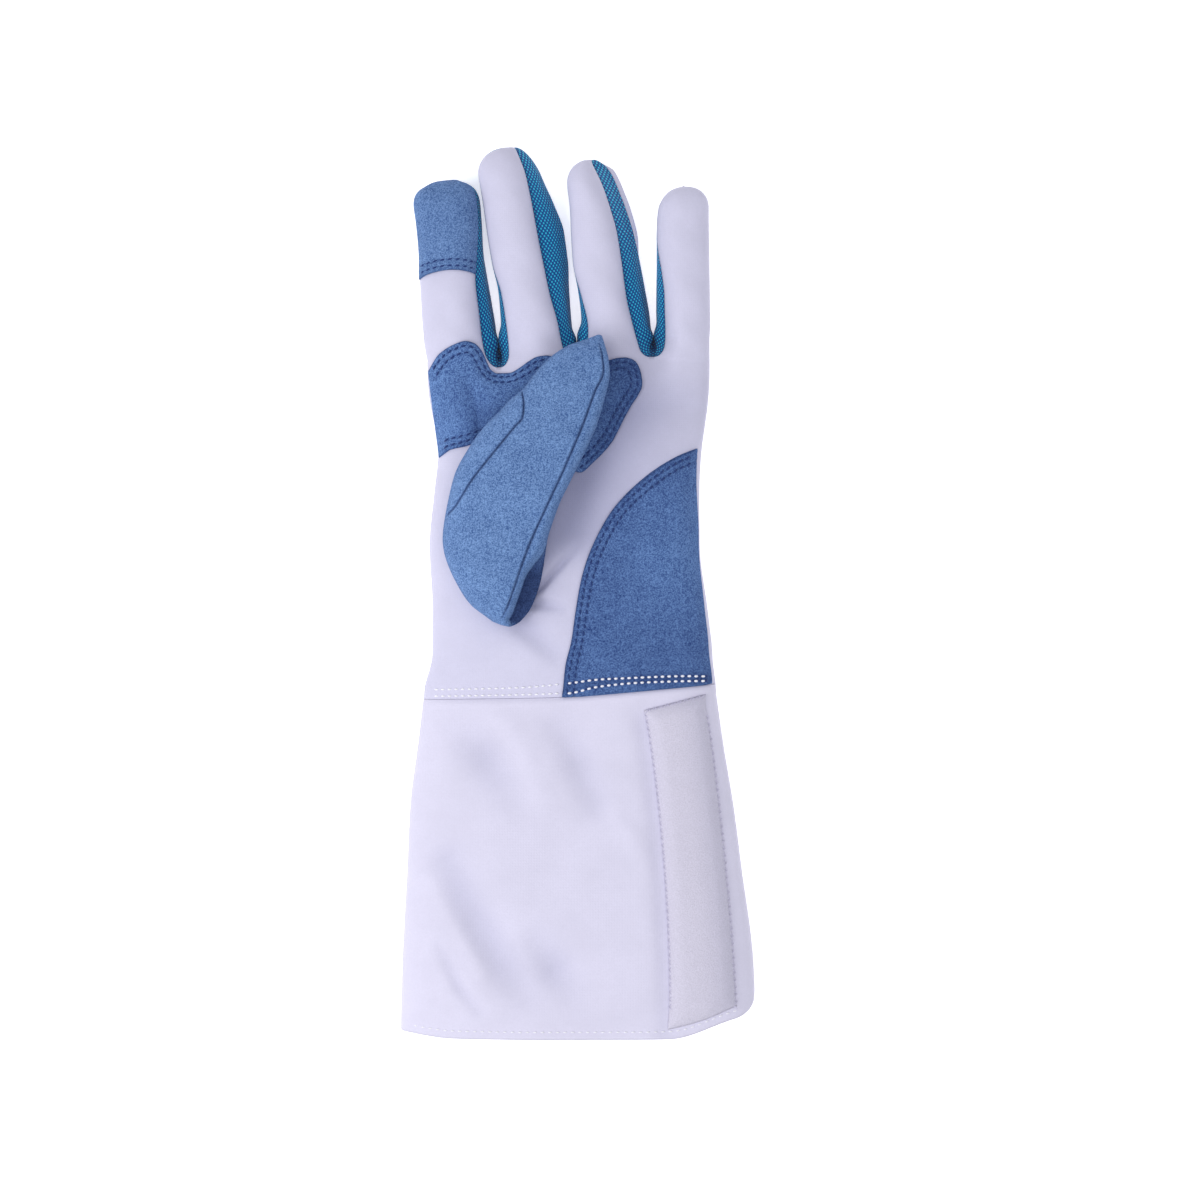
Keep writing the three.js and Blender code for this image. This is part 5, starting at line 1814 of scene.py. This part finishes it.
class GLOVE_OT_stage(Operator):
    """Pale floor, soft studio lights and the camera straight above"""

    bl_idname = "fencing_glove.stage"
    bl_label = "Stage"

    def execute(self, context):
        scene = context.scene
        size, gap = 4.0, 0.0004
        mesh = bpy.data.meshes.new("floor")
        signs = ((-1, -1), (1, -1), (1, 1), (-1, 1))
        corners = [(x * size, y * size, -gap) for x, y in signs]
        mesh.from_pydata(corners, [], [(0, 1, 2, 3)])
        paper = bpy.data.materials.new("white paper sweep")
        paper.use_nodes = True
        shader = paper.node_tree.nodes["Principled BSDF"]
        shader.inputs["Base Color"].default_value = linear("#FBFBFC")
        shader.inputs["Roughness"].default_value = 0.9
        shader.inputs["Emission Color"].default_value = linear("#FFFFFF")
        shader.inputs["Emission Strength"].default_value = 0.4
        mesh.materials.append(paper)
        floor = bpy.data.objects.new("floor", mesh)
        scene.collection.objects.link(floor)
        for name, place, power, width in (
            ("key_light", (-1.2, -0.3, 1.15), 15, 1.0),
            ("fill_light", (1.0, 0.5, 1.5), 5, 1.4),
            ("top_light", (0.1, -0.6, 1.9), 13, 1.6),
        ):
            lamp = bpy.data.lights.new(name, "AREA")
            lamp.energy = power
            lamp.size = width
            light = bpy.data.objects.new(name, lamp)
            light.location = place
            aim = -light.location.normalized()
            light.rotation_mode = "QUATERNION"
            light.rotation_quaternion = aim.to_track_quat("-Z", "Y")
            scene.collection.objects.link(light)
        world = scene.world or bpy.data.worlds.new("studio")
        scene.world = world
        world.use_nodes = True
        background = world.node_tree.nodes["Background"]
        background.inputs["Color"].default_value = linear("#F6F8FC")
        background.inputs["Strength"].default_value = 0.5
        scene.view_settings.view_transform = "Standard"
        lens = bpy.data.cameras.new("camera")
        lens.sensor_width = 36
        distance, width = 1.3, 0.504
        lens.lens = lens.sensor_width * distance / width
        camera = bpy.data.objects.new("camera", lens)
        camera.location = (0.0092, -0.004, distance)
        scene.collection.objects.link(camera)
        scene.camera = camera
        return {"FINISHED"}


PIECES = (
    GLOVE_OT_palm_panel,
    GLOVE_OT_back_panel,
    GLOVE_OT_gussets,
    GLOVE_OT_patches,
    GLOVE_OT_thumb,
    GLOVE_OT_cuff,
    GLOVE_OT_closure_tape,
    GLOVE_OT_stitching,
    GLOVE_OT_stage,
)


class GLOVE_PT_sidebar(Panel):
    """The glove's sizes, colours and pieces"""

    bl_idname = "GLOVE_PT_sidebar"
    bl_label = "Fencing Glove"
    bl_space_type = "VIEW_3D"
    bl_region_type = "UI"
    bl_category = "Fencing Glove"

    def draw(self, context):
        for piece in PIECES:
            self.layout.operator(piece.bl_idname)
        for group in (context.scene.glove_sizes, context.scene.glove_colours):
            box = self.layout.box()
            for name in group.__annotations__:
                box.prop(group, name)


CLASSES = (GloveSizes, GloveColours, *PIECES, GLOVE_PT_sidebar)


def register():
    """Adds the classes and the scene's sizes and colours."""
    for cls in CLASSES:
        bpy.utils.register_class(cls)
    bpy.types.Scene.glove_sizes = PointerProperty(type=GloveSizes)
    bpy.types.Scene.glove_colours = PointerProperty(type=GloveColours)


def unregister():
    """Removes what register added."""
    del bpy.types.Scene.glove_colours
    del bpy.types.Scene.glove_sizes
    for cls in reversed(CLASSES):
        bpy.utils.unregister_class(cls)


def main():
    """Makes every piece in order."""
    register()
    for piece in PIECES:
        group, name = piece.bl_idname.split(".")
        getattr(getattr(bpy.ops, group), name)()


if __name__ == "__main__":
    main()
